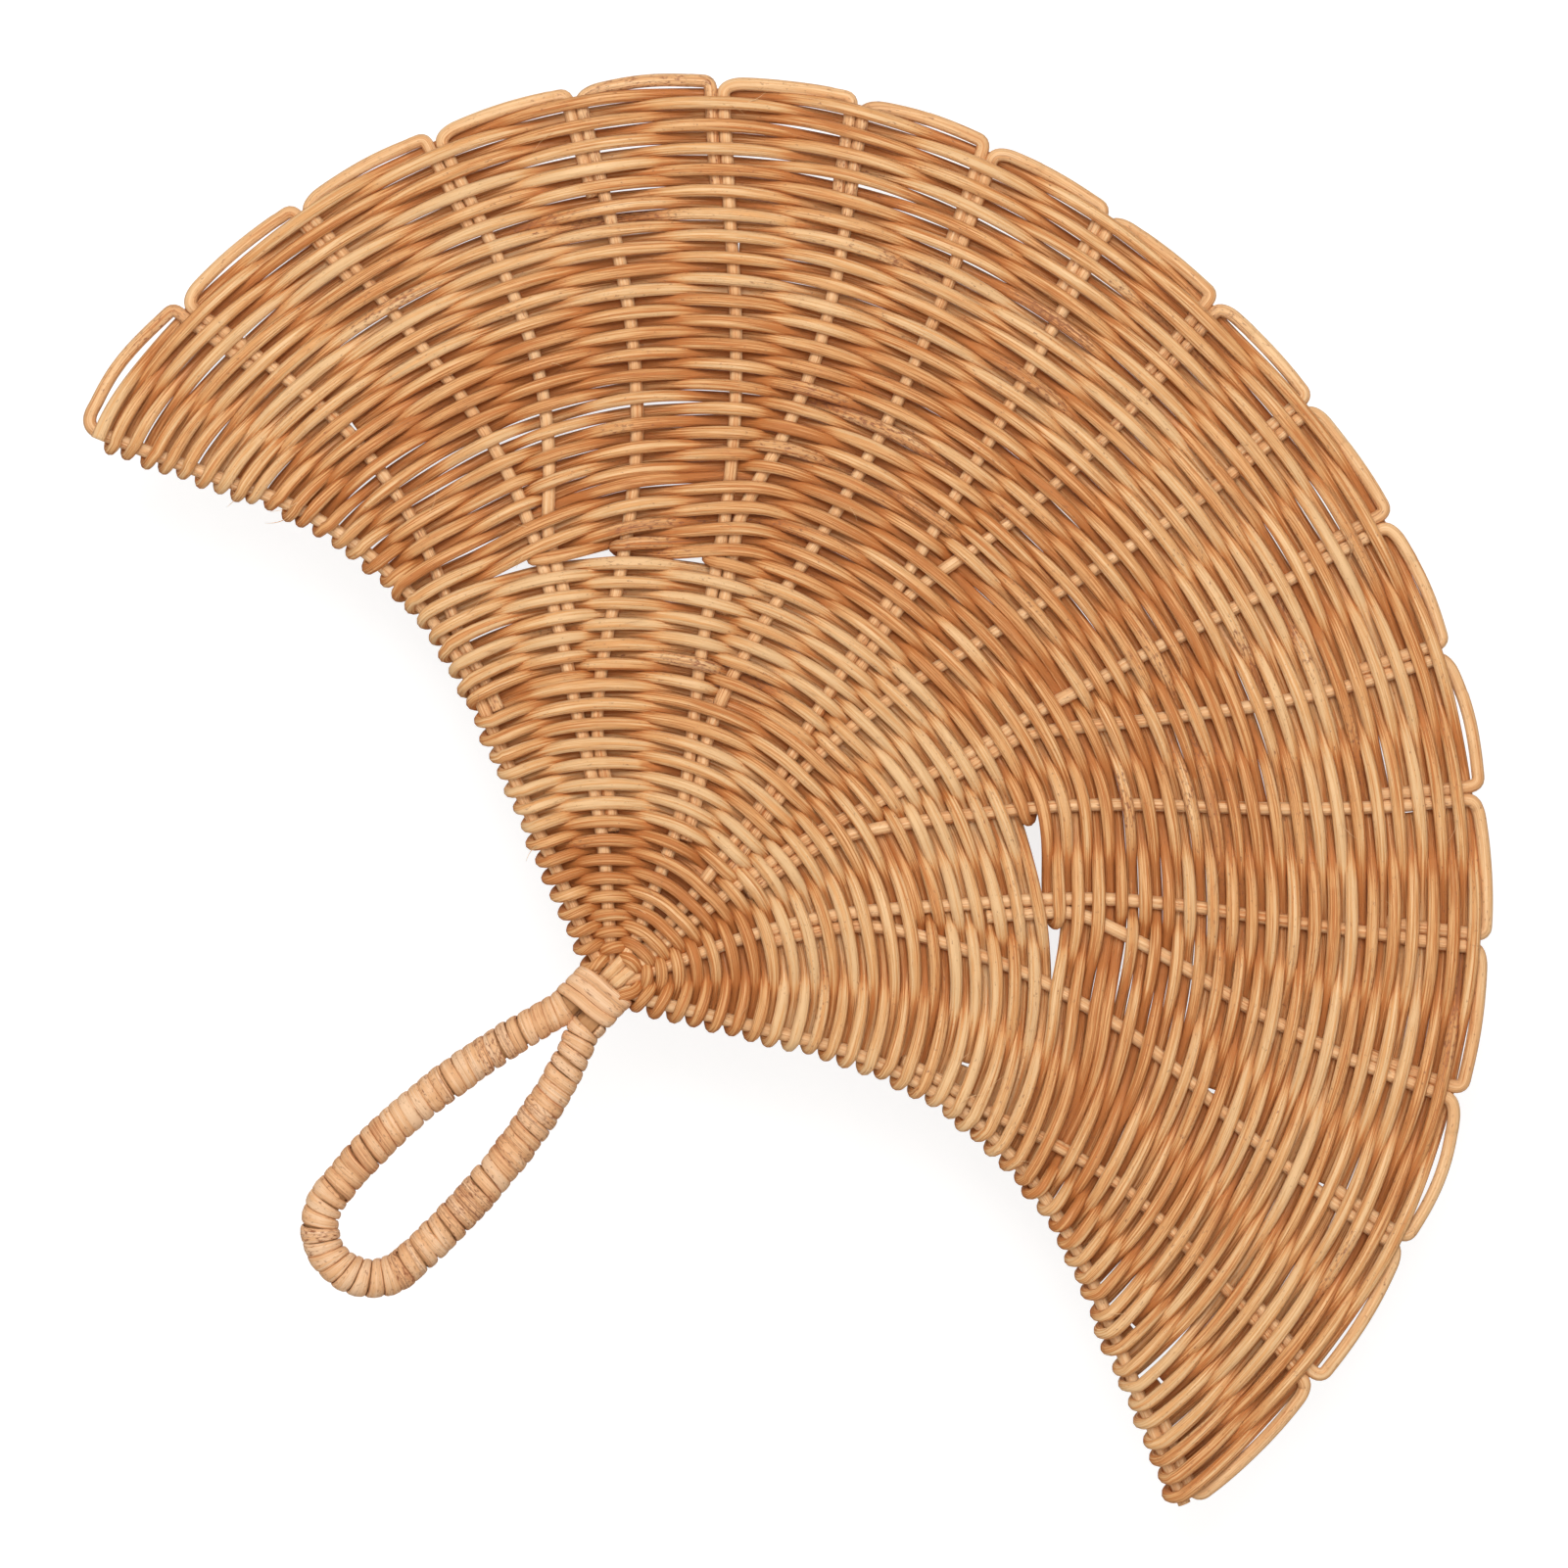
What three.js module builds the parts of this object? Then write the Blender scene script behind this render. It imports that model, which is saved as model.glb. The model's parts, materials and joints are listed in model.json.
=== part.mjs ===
// Rattan wall fan: round weavers worked over and under nineteen stakes, with a bound loop handle.
// Millimetres, +Z up. The front faces -Y and the wall is at +Y. The fan is drawn about the mouth
// of its neck, and the finished group is then hung so that the wall nail is the origin.
import * as THREE from 'three';

// Clearance between any two pieces
const clearance = 0.3;

// Rim: the scalloped border follows a circle about a point above the neck, which swells on the left
const rimRadius = 201;
const rimCentreHeight = 26.5;
const rimSwell = 7.4;
const swellBearing = THREE.MathUtils.degToRad(-45);
const swellSpread = THREE.MathUtils.degToRad(55);
const rimTipInset = 3.8;
const leftTipHeight = 3.5;
const rightTipHeight = 2.5;
const scallopCorner = 3;
const scallopCount = 18;
const tailLength = 23;
const rimLean = THREE.MathUtils.degToRad(2.45);

// Round core: stakes and weavers
const stakeDiameter = 3;
const weaverWidth = 3.2;
const weaverThickness = 2.6;
const weaverLength = 1050;
const looseEnd = 2.5;
const crestSpare = 0.1;

// Weave: where its rows start and stop. The filling rows turn back at the stakes named here, left
// and right, so the middle gets more rows than the wings.
const firstRowReach = 12;
const firstRowSetback = 11;
const rimToLastRow = 4.1;
const tipToLastRow = 1.5;
const fillReach = 107;
const fillSpans = [[6, 19], [6, 14], [5, 14], [5, 15], [3, 15], [3, 19]];
const turnOpening = 20;

// Lower edges: a straight rise from the neck, a rounded crown and a straight fall to the tip
const leftEdge = { start: [9, -3.6], rise: 22, fall: 24, crown: 44 };
const rightEdge = { start: [4.6, -5], rise: 30.5, fall: 23.3, crown: 55 };

// Forks: bye-stakes pushed in beside a main stake, which leave it further out
const firstForkReach = 56;
const firstForkSwing = 3;
const secondForkReach = 115;
const secondForkSwing = 3.5;
const edgeForkReach = 100;
const byeOverlap = 23;
const gatherStrength = 0.3;
const gatherReach = 60;

// Neck and handle. A leg swells out from its shoulder, below the neck, to its belly, above the bend.
const neckShift = -1.5;
const neckTop = -5.5;
const neckTurns = 3;
const handleDrop = 106;
const leftLeg = { shoulder: 9.6, belly: 16.3 };
const rightLeg = { shoulder: 12.2, belly: 15.1 };
const handleBendRadius = 13.3;
const handleCoreDiameter = 7.8;
const handleTopDiameter = 6.8;
const legEntry = 1.5;
const shoulderDrop = 20;
const bellyRise = 27;
const coreTaper = 25;

// Flat cane that binds the handle and the neck
const caneWidth = 2.8;
const caneThickness = 0.8;
const caneGap = 0.45;

// Hanging: height of the wall nail above the neck
const nailHeight = 190;

// Facets
const stakeSides = 6;
const coreSides = 10;
const turnSteps = 7;
const edgeSteps = 14;

const neckLength = neckTurns * (caneWidth + caneGap) + caneWidth;
const stakeCount = scallopCount + 1;
const stakeRadius = stakeDiameter / 2;
const sideBySide = stakeDiameter + 1.5 * clearance;
const crestHeight = stakeRadius + clearance + crestSpare + weaverThickness / 2;
const closestPass = stakeDiameter + weaverWidth * 1.05;
const steepSlope = 0.57;
const flatHalf = 0.8;
const widestChord = THREE.MathUtils.degToRad(19);

const colours = { stake: 0xc99a63, light: 0xdcae72, dark: 0xb97a3e, cane: 0xd8a86c, core: 0xc08e58 };

const { clamp, lerp, degToRad, smoothstep } = THREE.MathUtils;
const fan = new THREE.Group();

// A point of the fan's middle plane, x to the right and z up
function flat(x, z, y = 0) {
  return new THREE.Vector3(x, y, z);
}

// Skins a run of rings that have the same number of corners, and closes both ends
function skin(rings) {
  const sides = rings[0].length;
  const corners = rings.flat();
  const triangles = [];
  for (let ring = 0; ring + 1 < rings.length; ring++) {
    for (let side = 0; side < sides; side++) {
      const a = ring * sides + side;
      const b = ring * sides + ((side + 1) % sides);
      triangles.push(a, b, a + sides, b, b + sides, a + sides);
    }
  }
  const last = (rings.length - 1) * sides;
  for (let side = 1; side + 1 < sides; side++) {
    triangles.push(0, side + 1, side, last, last + side, last + side + 1);
  }
  let volume = 0;
  for (let i = 0; i < triangles.length; i += 3) {
    const [a, b, c] = [0, 1, 2].map((j) => corners[triangles[i + j]]);
    volume += a.dot(new THREE.Vector3().crossVectors(b, c));
  }
  if (volume < 0) triangles.reverse();
  const geometry = new THREE.BufferGeometry().setFromPoints(corners);
  geometry.setIndex(triangles);
  geometry.computeVertexNormals();
  return geometry;
}

function addPiece(name, geometry, colour, roughness = 0.6) {
  const material = new THREE.MeshStandardMaterial({ color: colour, roughness, metalness: 0 });
  const mesh = new THREE.Mesh(geometry, material);
  mesh.name = name;
  fan.add(mesh);
}

// Rings of a round rod along a line of points that bends mostly in the fan's plane.
// radiusAt gives the rod's radius at each point.
function rodRings(points, radiusAt, sides) {
  const across = new THREE.Vector3(0, 1, 0);
  return points.map((point, i) => {
    const before = points[Math.max(i - 1, 0)];
    const after = points[Math.min(i + 1, points.length - 1)];
    const into = point.clone().sub(before).normalize();
    const outOf = after.clone().sub(point).normalize();
    const along = into.clone().add(outOf).normalize();
    const mitre = i > 0 && i + 1 < points.length ? 1 / Math.max(along.dot(into), 0.5) : 1;
    const up = across.clone().addScaledVector(along, -across.dot(along)).normalize();
    const out = new THREE.Vector3().crossVectors(along, up);
    return Array.from({ length: sides }, (_, corner) => {
      const turn = (corner / sides) * 2 * Math.PI;
      return point
        .clone()
        .addScaledVector(up, radiusAt(i) * Math.cos(turn))
        .addScaledVector(out, radiusAt(i) * Math.sin(turn) * mitre);
    });
  });
}

// How far the rim stands out of its circle at a bearing
function swellAt(bearing) {
  const turn = clamp((bearing - swellBearing) / swellSpread, -1, 1);
  return (rimSwell * (1 + Math.cos(Math.PI * turn))) / 2;
}

// Lower edge of one wing as a line of points, with x counted outwards from the fan's axis
function edgeLine(edge, tipHeight) {
  const tipRadius = rimRadius - rimTipInset - scallopCorner;
  const rise = new THREE.Vector2(Math.cos(degToRad(edge.rise)), Math.sin(degToRad(edge.rise)));
  const fall = new THREE.Vector2(Math.cos(degToRad(edge.fall)), -Math.sin(degToRad(edge.fall)));
  const start = new THREE.Vector2(...edge.start);
  const tip = new THREE.Vector2(Math.sqrt(tipRadius ** 2 - (rimCentreHeight - tipHeight) ** 2), tipHeight);
  const along = tip.clone().sub(start).cross(fall) / rise.cross(fall);
  const apex = start.clone().addScaledVector(rise, along);
  const crownStart = apex.clone().addScaledVector(rise, -edge.crown);
  const crownEnd = apex.clone().addScaledVector(fall, edge.crown);
  const path = new THREE.CurvePath();
  path.add(new THREE.LineCurve(start, crownStart));
  path.add(new THREE.QuadraticBezierCurve(crownStart, apex, crownEnd));
  path.add(new THREE.LineCurve(crownEnd, tip));
  const length = path.getLength();
  const firstShare = firstRowSetback / length;
  const points = Array.from({ length: edgeSteps + 1 }, (_, i) =>
    path.getPointAt(lerp(firstShare, 1, i / edgeSteps)));
  return { points, length: length - firstRowSetback };
}

const left = edgeLine(leftEdge, leftTipHeight);
const right = edgeLine(rightEdge, rightTipHeight);

const lastRowReach = rimCentreHeight + rimRadius - rimToLastRow;
const rimReach = rimCentreHeight + rimRadius;

// Bearings seen from the rim's centre, as a share of those seen from the neck
const rimBearingShare = 1.12;

function axisReach(out) {
  return lerp(firstRowReach, lastRowReach, out);
}

// A point of the fan's plane. across runs from -1 at the left edge to 1 at the right one, and out
// from 0 at the first row to 1 at the last. A row is a round arch between its two edge points. The
// stakes lean to the left, most on the right-hand side, and the rows swell with the rim.
const leanBias = 4;

function fanPoint(across, out) {
  const edge = across < 0 ? left : right;
  const place = clamp(out * (1 - tipToLastRow / edge.length), 0, 1) * edgeSteps;
  const step = Math.min(Math.floor(place), edgeSteps - 1);
  const tip = edge.points[step].clone().lerp(edge.points[step + 1], place - step);
  const edgeAngle = Math.atan2(tip.x, tip.y);
  const swing = Math.abs(across) * edgeAngle;
  const share = (1 - Math.cos(swing)) / (1 - Math.cos(edgeAngle));
  const reach = lerp(axisReach(out), tip.length(), share);
  const lean = rimLean * (1 - across ** 2) * (1 + leanBias * across) * (axisReach(out) / rimReach);
  const angle = Math.sign(across) * swing - lean;
  const swollen = reach + swellAt(angle * rimBearingShare) * out ** 3 * (1 - across ** 8);
  return flat(swollen * Math.sin(angle), swollen * Math.cos(angle));
}

// Millimetres of row for each unit of across
function rowScale(across, out) {
  const step = 0.01;
  return fanPoint(across - step, out).distanceTo(fanPoint(across + step, out)) / (2 * step);
}

// Which main stake each stake leaves, and how far out. Stake 1 is the left edge, 19 the right.
const mainStakes = [1, 3, 6, 9, 12, 15, stakeCount];

function rimAcross(k) {
  return (2 * (k - 1)) / (stakeCount - 1) - 1;
}

function forkOf(k) {
  if (mainStakes.includes(k)) return null;
  if (k === 2) return { parent: 1, reach: edgeForkReach, swing: firstForkSwing };
  if (k === stakeCount - 1) return { parent: stakeCount, reach: edgeForkReach, swing: firstForkSwing };
  if (k % 3 === 1) return { parent: k - 1, reach: secondForkReach, swing: secondForkSwing };
  return { parent: k - 2, reach: firstForkReach, swing: firstForkSwing };
}

function outOfReach(reach) {
  return (reach - firstRowReach) / (lastRowReach - firstRowReach);
}

function stakeStart(k) {
  const fork = forkOf(k);
  return fork ? outOfReach(fork.reach - byeOverlap) : 0;
}

// The tail of scallop k is tucked down the left side of stake k + 1
const tailOut = 1 - tailLength / (lastRowReach - firstRowReach);

// Bends between the last forks and the tails, closer together where the bye-stakes swing away
const swingShares = [0.16, 0.37, 0.75];

// Places along a stake at which it may bend. Stakes that lie side by side share them.
function stakeStations(k) {
  if (k <= 2 || k >= stakeCount - 1) {
    return Array.from({ length: edgeSteps + 1 }, (_, i) => i / edgeSteps);
  }
  const [first, second] = [stakeStart(5), stakeStart(4)];
  const [parting, swing] = [outOfReach(firstForkReach), outOfReach(secondForkReach)];
  const outer = [swing, ...swingShares.map((share) => lerp(swing, tailOut, share)), tailOut, 1];
  return [0, first / 2, first, parting, (parting + second) / 2, second, ...outer];
}

// Place of stake k across the fan. Mains gather towards the axis near the neck, and a bye-stake
// lies beside its main, then swings away from it to its own place at the rim.
function placeAcross(k, out) {
  const reach = axisReach(out);
  const fork = forkOf(k);
  if (!fork) {
    const gather = 1 + gatherStrength * Math.exp(-((reach / gatherReach) ** 3));
    return Math.sign(rimAcross(k)) * Math.abs(rimAcross(k)) ** gather;
  }
  const main = stakeAcross(fork.parent, out);
  const gone = clamp((reach - fork.reach) / (rimReach - fork.reach), 0, 1);
  const spread = (rimAcross(k) - rimAcross(fork.parent)) * (1 - (1 - gone) ** fork.swing);
  return main + Math.sign(k - fork.parent) * Math.hypot(spread, besideStep(main, out));
}

// How far apart across the fan two rods are that lie side by side
function besideStep(across, out) {
  return sideBySide / rowScale(clamp(across, -0.98, 0.98), out);
}

// A stake runs straight between its stations
const stakeBends = new Map();

function bendsOf(k) {
  if (!stakeBends.has(k)) {
    const start = stakeStart(k);
    const outs = [start, ...stakeStations(k).filter((out) => out > start + 0.01)];
    stakeBends.set(k, outs.map((out) => ({ out, across: placeAcross(k, out) })));
  }
  return stakeBends.get(k);
}

function stakeAcross(k, out) {
  const bends = bendsOf(k);
  const next = clamp(bends.findIndex((bend) => bend.out > out), 1, bends.length - 1);
  const [a, b] = out >= 1 ? bends.slice(-2) : [bends[next - 1], bends[next]];
  return lerp(a.across, b.across, (out - a.out) / (b.out - a.out));
}

// A rod's end that lies under a row, or just clear of it, still counts as crossed by that row
const endMargin = (weaverWidth / 2 + 2 * clearance) / (lastRowReach - firstRowReach);

function tailAcross(k, out) {
  const next = stakeAcross(k + 1, out);
  return next - besideStep(next, out);
}

function rimPoint(angle, inset) {
  const radius = rimRadius + swellAt(angle) - inset;
  return flat(radius * Math.sin(angle), rimCentreHeight + radius * Math.cos(angle));
}

function rimAngle(point) {
  return Math.atan2(point.x, point.z - rimCentreHeight);
}

// Lower end of main stake number i, packed in two layers inside the neck
function rootPoint(i) {
  const layer = i % 2 === 0 ? -1 : 1;
  const x = neckShift + ((i - (mainStakes.length - 1) / 2) * sideBySide) / 2;
  return flat(x, neckTop, (layer * sideBySide) / 2);
}

// How far a root's curve follows its two ends' directions, as a share of the way between them
const rootPull = 0.38;

function rootLine(k) {
  const i = mainStakes.indexOf(k);
  const low = rootPoint(i);
  const foot = low.clone().setZ(neckTop - neckLength / 2 + clearance);
  const first = fanPoint(stakeAcross(k, 0), 0);
  const heading = fanPoint(stakeAcross(k, 0.03), 0.03).sub(first).normalize();
  const pull = first.distanceTo(low) * rootPull;
  const bend = new THREE.CubicBezierCurve3(
    low,
    low.clone().add(flat(0, pull)),
    first.clone().addScaledVector(heading, -pull).setY(low.y),
    first,
  );
  return [foot, ...bend.getPoints(4).slice(0, -1)];
}

// Border scallop from stake k to the left side of the next stake, and its tucked tail
function scallopLine(k) {
  const insetAt = (n) => (n === 1 || n === stakeCount ? rimTipInset : 0);
  const from = rimAngle(fanPoint(stakeAcross(k, 1), 1));
  const to = rimAngle(fanPoint(tailAcross(k, 1), 1));
  const cornerTurn = scallopCorner / rimRadius;
  return [
    rimPoint(from, insetAt(k) + scallopCorner),
    rimPoint(from + cornerTurn, insetAt(k)),
    rimPoint(to - cornerTurn, insetAt(k + 1)),
    rimPoint(to, insetAt(k + 1) + scallopCorner),
    ...[1, tailOut].map((out) => fanPoint(tailAcross(k, out), out)),
  ];
}

function stakeLine(k) {
  const body = bendsOf(k).map(({ across, out }) => fanPoint(across, out));
  const root = mainStakes.includes(k) ? rootLine(k) : [];
  if (k === stakeCount) {
    const tip = body[body.length - 1];
    const heading = tip.clone().sub(body[body.length - 2]).normalize();
    return [...root, ...body, tip.clone().addScaledVector(heading, scallopCorner)];
  }
  return [...root, ...(k === 1 ? body.slice(0, -1) : body), ...scallopLine(k)];
}

for (let k = 1; k <= stakeCount; k++) {
  const line = stakeLine(k);
  const name = 'stake_' + String(k).padStart(2, '0');
  addPiece(name, skin(rodRings(line, () => stakeRadius, stakeSides)), colours.stake);
}

// Passes, in the order in which they are worked: full rows, the filling rows, and full rows again.
// Even passes run to the left and odd ones to the right.
const rowPitch = weaverWidth + clearance;
const passCount = Math.floor((lastRowReach - firstRowReach) / rowPitch) + 1;
const fullCount = passCount - fillSpans.length;
const fillStart = (fillReach - firstRowReach) / (lastRowReach - firstRowReach);
const innerRows = 2 * Math.round(((passCount - 1) * fillStart - fillSpans.length / 2) / 2);

function fullBefore(index) {
  return index <= innerRows ? index : Math.max(index - fillSpans.length, innerRows);
}

function spanOf(index) {
  return fillSpans[index - innerRows] ?? [1, stakeCount];
}

// Where each filling row turns, and over what width the rows beyond its turn close up again
const fillEnds = fillSpans.map((span) => {
  const out = outOfReach(fillReach);
  return span.map((k) => {
    const turn = stakeAcross(k, out);
    return { turn, opening: turnOpening / rowScale(turn, out), isOpen: k > 1 && k < stakeCount };
  });
});

// For each filling row, 1 where it runs, easing to 0 beyond the stakes that it turns at
function fillCover(across) {
  return fillEnds.map(([low, high]) => {
    const fromLeft = low.isOpen ? smoothstep(across, low.turn - low.opening, low.turn) : 1;
    const fromRight = high.isOpen ? 1 - smoothstep(across, high.turn, high.turn + high.opening) : 1;
    return fromLeft * fromRight;
  });
}

// Share of the way out of a pass at one place: the passes before it there over all that run there
function passOut(index, across) {
  const cover = fillCover(across);
  const total = (list) => list.reduce((sum, share) => sum + share, 0);
  const earlier = cover.slice(0, Math.max(index - innerRows, 0));
  return clamp((fullBefore(index) + total(earlier)) / (fullCount - 1 + total(cover)), 0, 1);
}

// Where a pass meets a rod whose place across depends on how far out it is
function meet(index, acrossAt) {
  let across = acrossAt(0.5);
  for (let i = 0; i < 8; i++) across = clamp(acrossAt(passOut(index, across)), -1, 1);
  const out = passOut(index, across);
  return { across, out, point: fanPoint(across, out) };
}

const stakeNumbers = Array.from({ length: stakeCount }, (_, i) => i + 1);
const passes = Array.from({ length: passCount }, (_, index) => ({
  index,
  heading: index % 2 === 0 ? -1 : 1,
  stakes: stakeNumbers.map((k) => meet(index, (out) => stakeAcross(k, out))),
  tails: stakeNumbers.slice(0, -1).map((k) => meet(index, (out) => tailAcross(k, out))),
}));

// Whether a pass finds the rods of every pair far enough apart to weave between
function isParted(pass, pairs) {
  const at = (k) => pass.stakes[k - 1].point;
  return pairs.every(([a, b]) => at(a).distanceTo(at(b)) > closestPass);
}

// All forks of one kind part in the same pass, so that over and under change in step across the
// fan. Until then a pass crosses a stake together with the one that stands for its bundle.
const neckBundle = [6, 9, 12];
const firstByes = stakeNumbers.filter((k) => forkOf(k)?.parent === k - 2);
const lateByes = stakeNumbers.filter((k) => forkOf(k) && !firstByes.includes(k));
const withMain = (k) => [k, forkOf(k).parent];

function bundlesAt(pass) {
  const mainsParted = isParted(pass, neckBundle.slice(1).map((k, i) => [k, neckBundle[i]]));
  const firstParted = isParted(pass, firstByes.map(withMain));
  const lateParted = isParted(pass, lateByes.map(withMain));
  return stakeNumbers.map((k) => {
    const waits = (firstByes.includes(k) && !firstParted) || (lateByes.includes(k) && !lateParted);
    const bundle = waits ? forkOf(k).parent : k;
    return neckBundle.includes(bundle) && !mainsParted ? neckBundle[0] : bundle;
  });
}

// The bundles of rods that a pass crosses, from left to right
function passGroups(pass) {
  const [first, last] = spanOf(pass.index);
  const bundles = bundlesAt(pass);
  const rods = [];
  for (const k of stakeNumbers) {
    const bundle = bundles[k - 1];
    if (bundle < first || bundle > last) continue;
    const at = pass.stakes[k - 1];
    const tail = pass.tails[k - 2];
    if (!forkOf(k) || at.out > stakeStart(k) - endMargin) rods.push({ ...at, bundle });
    if (tail && tail.out > tailOut - endMargin) rods.push({ ...tail, bundle });
  }
  rods.sort((a, b) => a.across - b.across);
  const groups = [];
  for (const rod of rods) {
    const group = groups[groups.length - 1];
    if (group && group[0].bundle === rod.bundle) group.push(rod);
    else groups.push([rod]);
  }
  return groups;
}

for (const pass of passes) {
  const groups = passGroups(pass);
  pass.groups = groups;
  pass.line = groups.flatMap((group, i) => {
    const own = group.map((rod) => rod.point);
    const next = groups[i + 1];
    return next && isCurved(pass, i) ? [...own, fanPoint(...spanMiddle(pass, group, next))] : own;
  });
  if (pass.heading < 0) pass.groups = groups.map((group) => [...group].reverse()).reverse();
}

// Whether the span after group i turns enough to need a ring in its middle
function isCurved(row, i) {
  return rowHeading(row, i).angleTo(rowHeading(row, i + 1)) > widestChord;
}

function spanMiddle(row, group, next) {
  const across = (group[group.length - 1].across + next[0].across) / 2;
  return [across, passOut(row.index, across)];
}

// Least distance from a point to another row's line
function distanceToLine(point, line) {
  const segment = new THREE.Line3();
  const nearest = new THREE.Vector3();
  let least = Infinity;
  for (let i = 0; i + 1 < line.length; i++) {
    segment.set(line[i], line[i + 1]).closestPointToPoint(point, true, nearest);
    least = Math.min(least, nearest.distanceTo(point));
  }
  return least;
}

// Rows whose first crossings are further apart than this share of the way out can't touch
const nearRows = 0.2;

// Half the width that a weaver can have between points of its row without touching the rows beside it
function roomAt(row, points) {
  let least = weaverWidth + clearance;
  for (const other of passes) {
    if (other === row || Math.abs(other.groups[0][0].out - row.groups[0][0].out) > nearRows) continue;
    for (const point of points) least = Math.min(least, distanceToLine(point, other.line));
  }
  return (least - clearance) / 2;
}

// One row's rings: a crest over each group of rods, turn about on the front and the back. A steep
// pass gets a flat crest, and a long curved span a ring in its middle.
function rowRings(row, firstSide) {
  const rings = [];
  let side = firstSide;
  row.groups.forEach((group, i) => {
    const ends = group.length > 1 ? [group[0], group[group.length - 1]] : [group[0]];
    const before = row.groups[i - 1];
    const after = row.groups[i + 1];
    const gaps = [];
    if (before) gaps.push(before[before.length - 1].point.distanceTo(ends[0].point));
    if (after) gaps.push(after[0].point.distanceTo(ends[ends.length - 1].point));
    const steep = (2 * crestHeight) / Math.min(...gaps) > steepSlope;
    const atEnd = !before || !after;
    const lift = crestHeight + (atEnd ? clearance : 0);
    const along = rowHeading(row, i);
    const spots = ends.map((pass) => pass.point.clone());
    if (steep && spots.length === 1) spots.push(spots[0].clone());
    if (steep) {
      if (before) spots[0].addScaledVector(along, -flatHalf);
      if (after) spots[spots.length - 1].addScaledVector(along, flatHalf);
    }
    for (const centre of spots) {
      rings.push({ centre, y: side * lift, along, row, group, side, edge: atEnd });
    }
    if (after && isCurved(row, i)) {
      const centre = fanPoint(...spanMiddle(row, group, after));
      rings.push({ centre, y: 0, along: along.clone().add(rowHeading(row, i + 1)).normalize(), row });
    }
    side = -side;
  });
  return { rings, nextSide: side };
}

function groupMiddle(group) {
  return group[0].point.clone().lerp(group[group.length - 1].point, 0.5);
}

// Direction of a row at its group i, the same but for its sign whichever way the row is worked
function rowHeading(row, i) {
  const before = groupMiddle(row.groups[Math.max(i - 1, 0)]);
  const after = groupMiddle(row.groups[Math.min(i + 1, row.groups.length - 1)]);
  return after.sub(before).normalize();
}

// Two rings that carry a weaver round the rod at the end of its row and back into the next row
function turnRings(row, next) {
  const from = row.groups[row.groups.length - 1].slice(-1)[0].point;
  const to = next.groups[0][0].point;
  const along = to.clone().sub(from);
  const heading = rowHeading(row, row.groups.length - 1);
  const rodWay = along.clone().normalize();
  const outward = heading.clone().addScaledVector(rodWay, -heading.dot(rodWay)).normalize();
  return { from, along, rodWay, outward };
}

// Corner points of a weaver's section: a diamond, its width in the fan's plane
function diamond(centre, widthWay, thickWay) {
  return [
    centre.clone().add(widthWay),
    centre.clone().add(thickWay),
    centre.clone().sub(widthWay),
    centre.clone().sub(thickWay),
  ];
}

function ringCorners(ring, i, rings) {
  if (ring.corners) return ring.corners;
  const centre = ring.centre.clone().setY(ring.y);
  const towards = [rings[i - 1], rings[i + 1]]
    .filter((other) => other && other.row === ring.row && !other.corners)
    .flatMap((other) => [0.25, 0.5, 0.75].map((share) => ring.centre.clone().lerp(other.centre, share)));
  const half = roomAt(ring.row, [ring.centre, ...towards]);
  const widthWay = new THREE.Vector3(-ring.along.z, 0, ring.along.x).multiplyScalar(half);
  if (widthWay.dot(ring.centre) < 0) widthWay.negate();
  const thickWay = flat(0, 0, (ring.row.heading * weaverThickness) / 2);
  return diamond(centre, widthWay, thickWay);
}

// The two rings of a turn: their places between one row and the next, how far in front of and
// behind the rod they stand as a share of their distance out, and the tilt of their thickness. They
// are drawn thicker so that the mitred bend keeps its thickness, and widen over the two rows.
const turnShares = [0.25, 0.75];
const turnDepth = 0.48;
const turnTilt = degToRad(30);
const turnFullness = 1.14;
const turnSpread = 1.4;

// The whole run of rings for rows worked one after another without a break, from the front on
function workRows(rows) {
  const rings = [];
  let side = -1;
  rows.forEach((row, i) => {
    const done = rowRings(row, side);
    rings.push(...done.rings);
    side = done.nextSide;
    const next = rows[i + 1];
    if (!next) return;
    const { from, along, rodWay, outward } = turnRings(row, next);
    const away = stakeRadius + clearance + weaverThickness / 2;
    const half = Math.min(weaverWidth, along.length() * turnSpread - clearance) / 2;
    const thickHalf = (-side * row.heading * turnFullness * weaverThickness) / 2;
    turnShares.forEach((share, turn) => {
      const sign = turn === 0 ? -side : side;
      const centre = from.clone().addScaledVector(along, share).addScaledVector(outward, away);
      centre.y = sign * away * turnDepth;
      const thickWay = outward.clone().multiplyScalar(Math.cos(turnTilt)).setY(sign * Math.sin(turnTilt));
      const widthWay = rodWay.clone().multiplyScalar(half);
      if (widthWay.dot(from) < 0) widthWay.negate();
      rings.push({ corners: diamond(centre, widthWay, thickWay.multiplyScalar(thickHalf)) });
    });
  });
  return rings;
}

// A short straight end that stands out past the edge stake
function looseRing(ring, way) {
  return { ...ring, centre: ring.centre.clone().addScaledVector(ring.along, way * looseEnd) };
}

function ringGap(a, b) {
  const [from, to] = [a, b].map((ring) => (ring.corners ? ring.corners[0] : ring.centre));
  return from.distanceTo(to);
}

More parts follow.
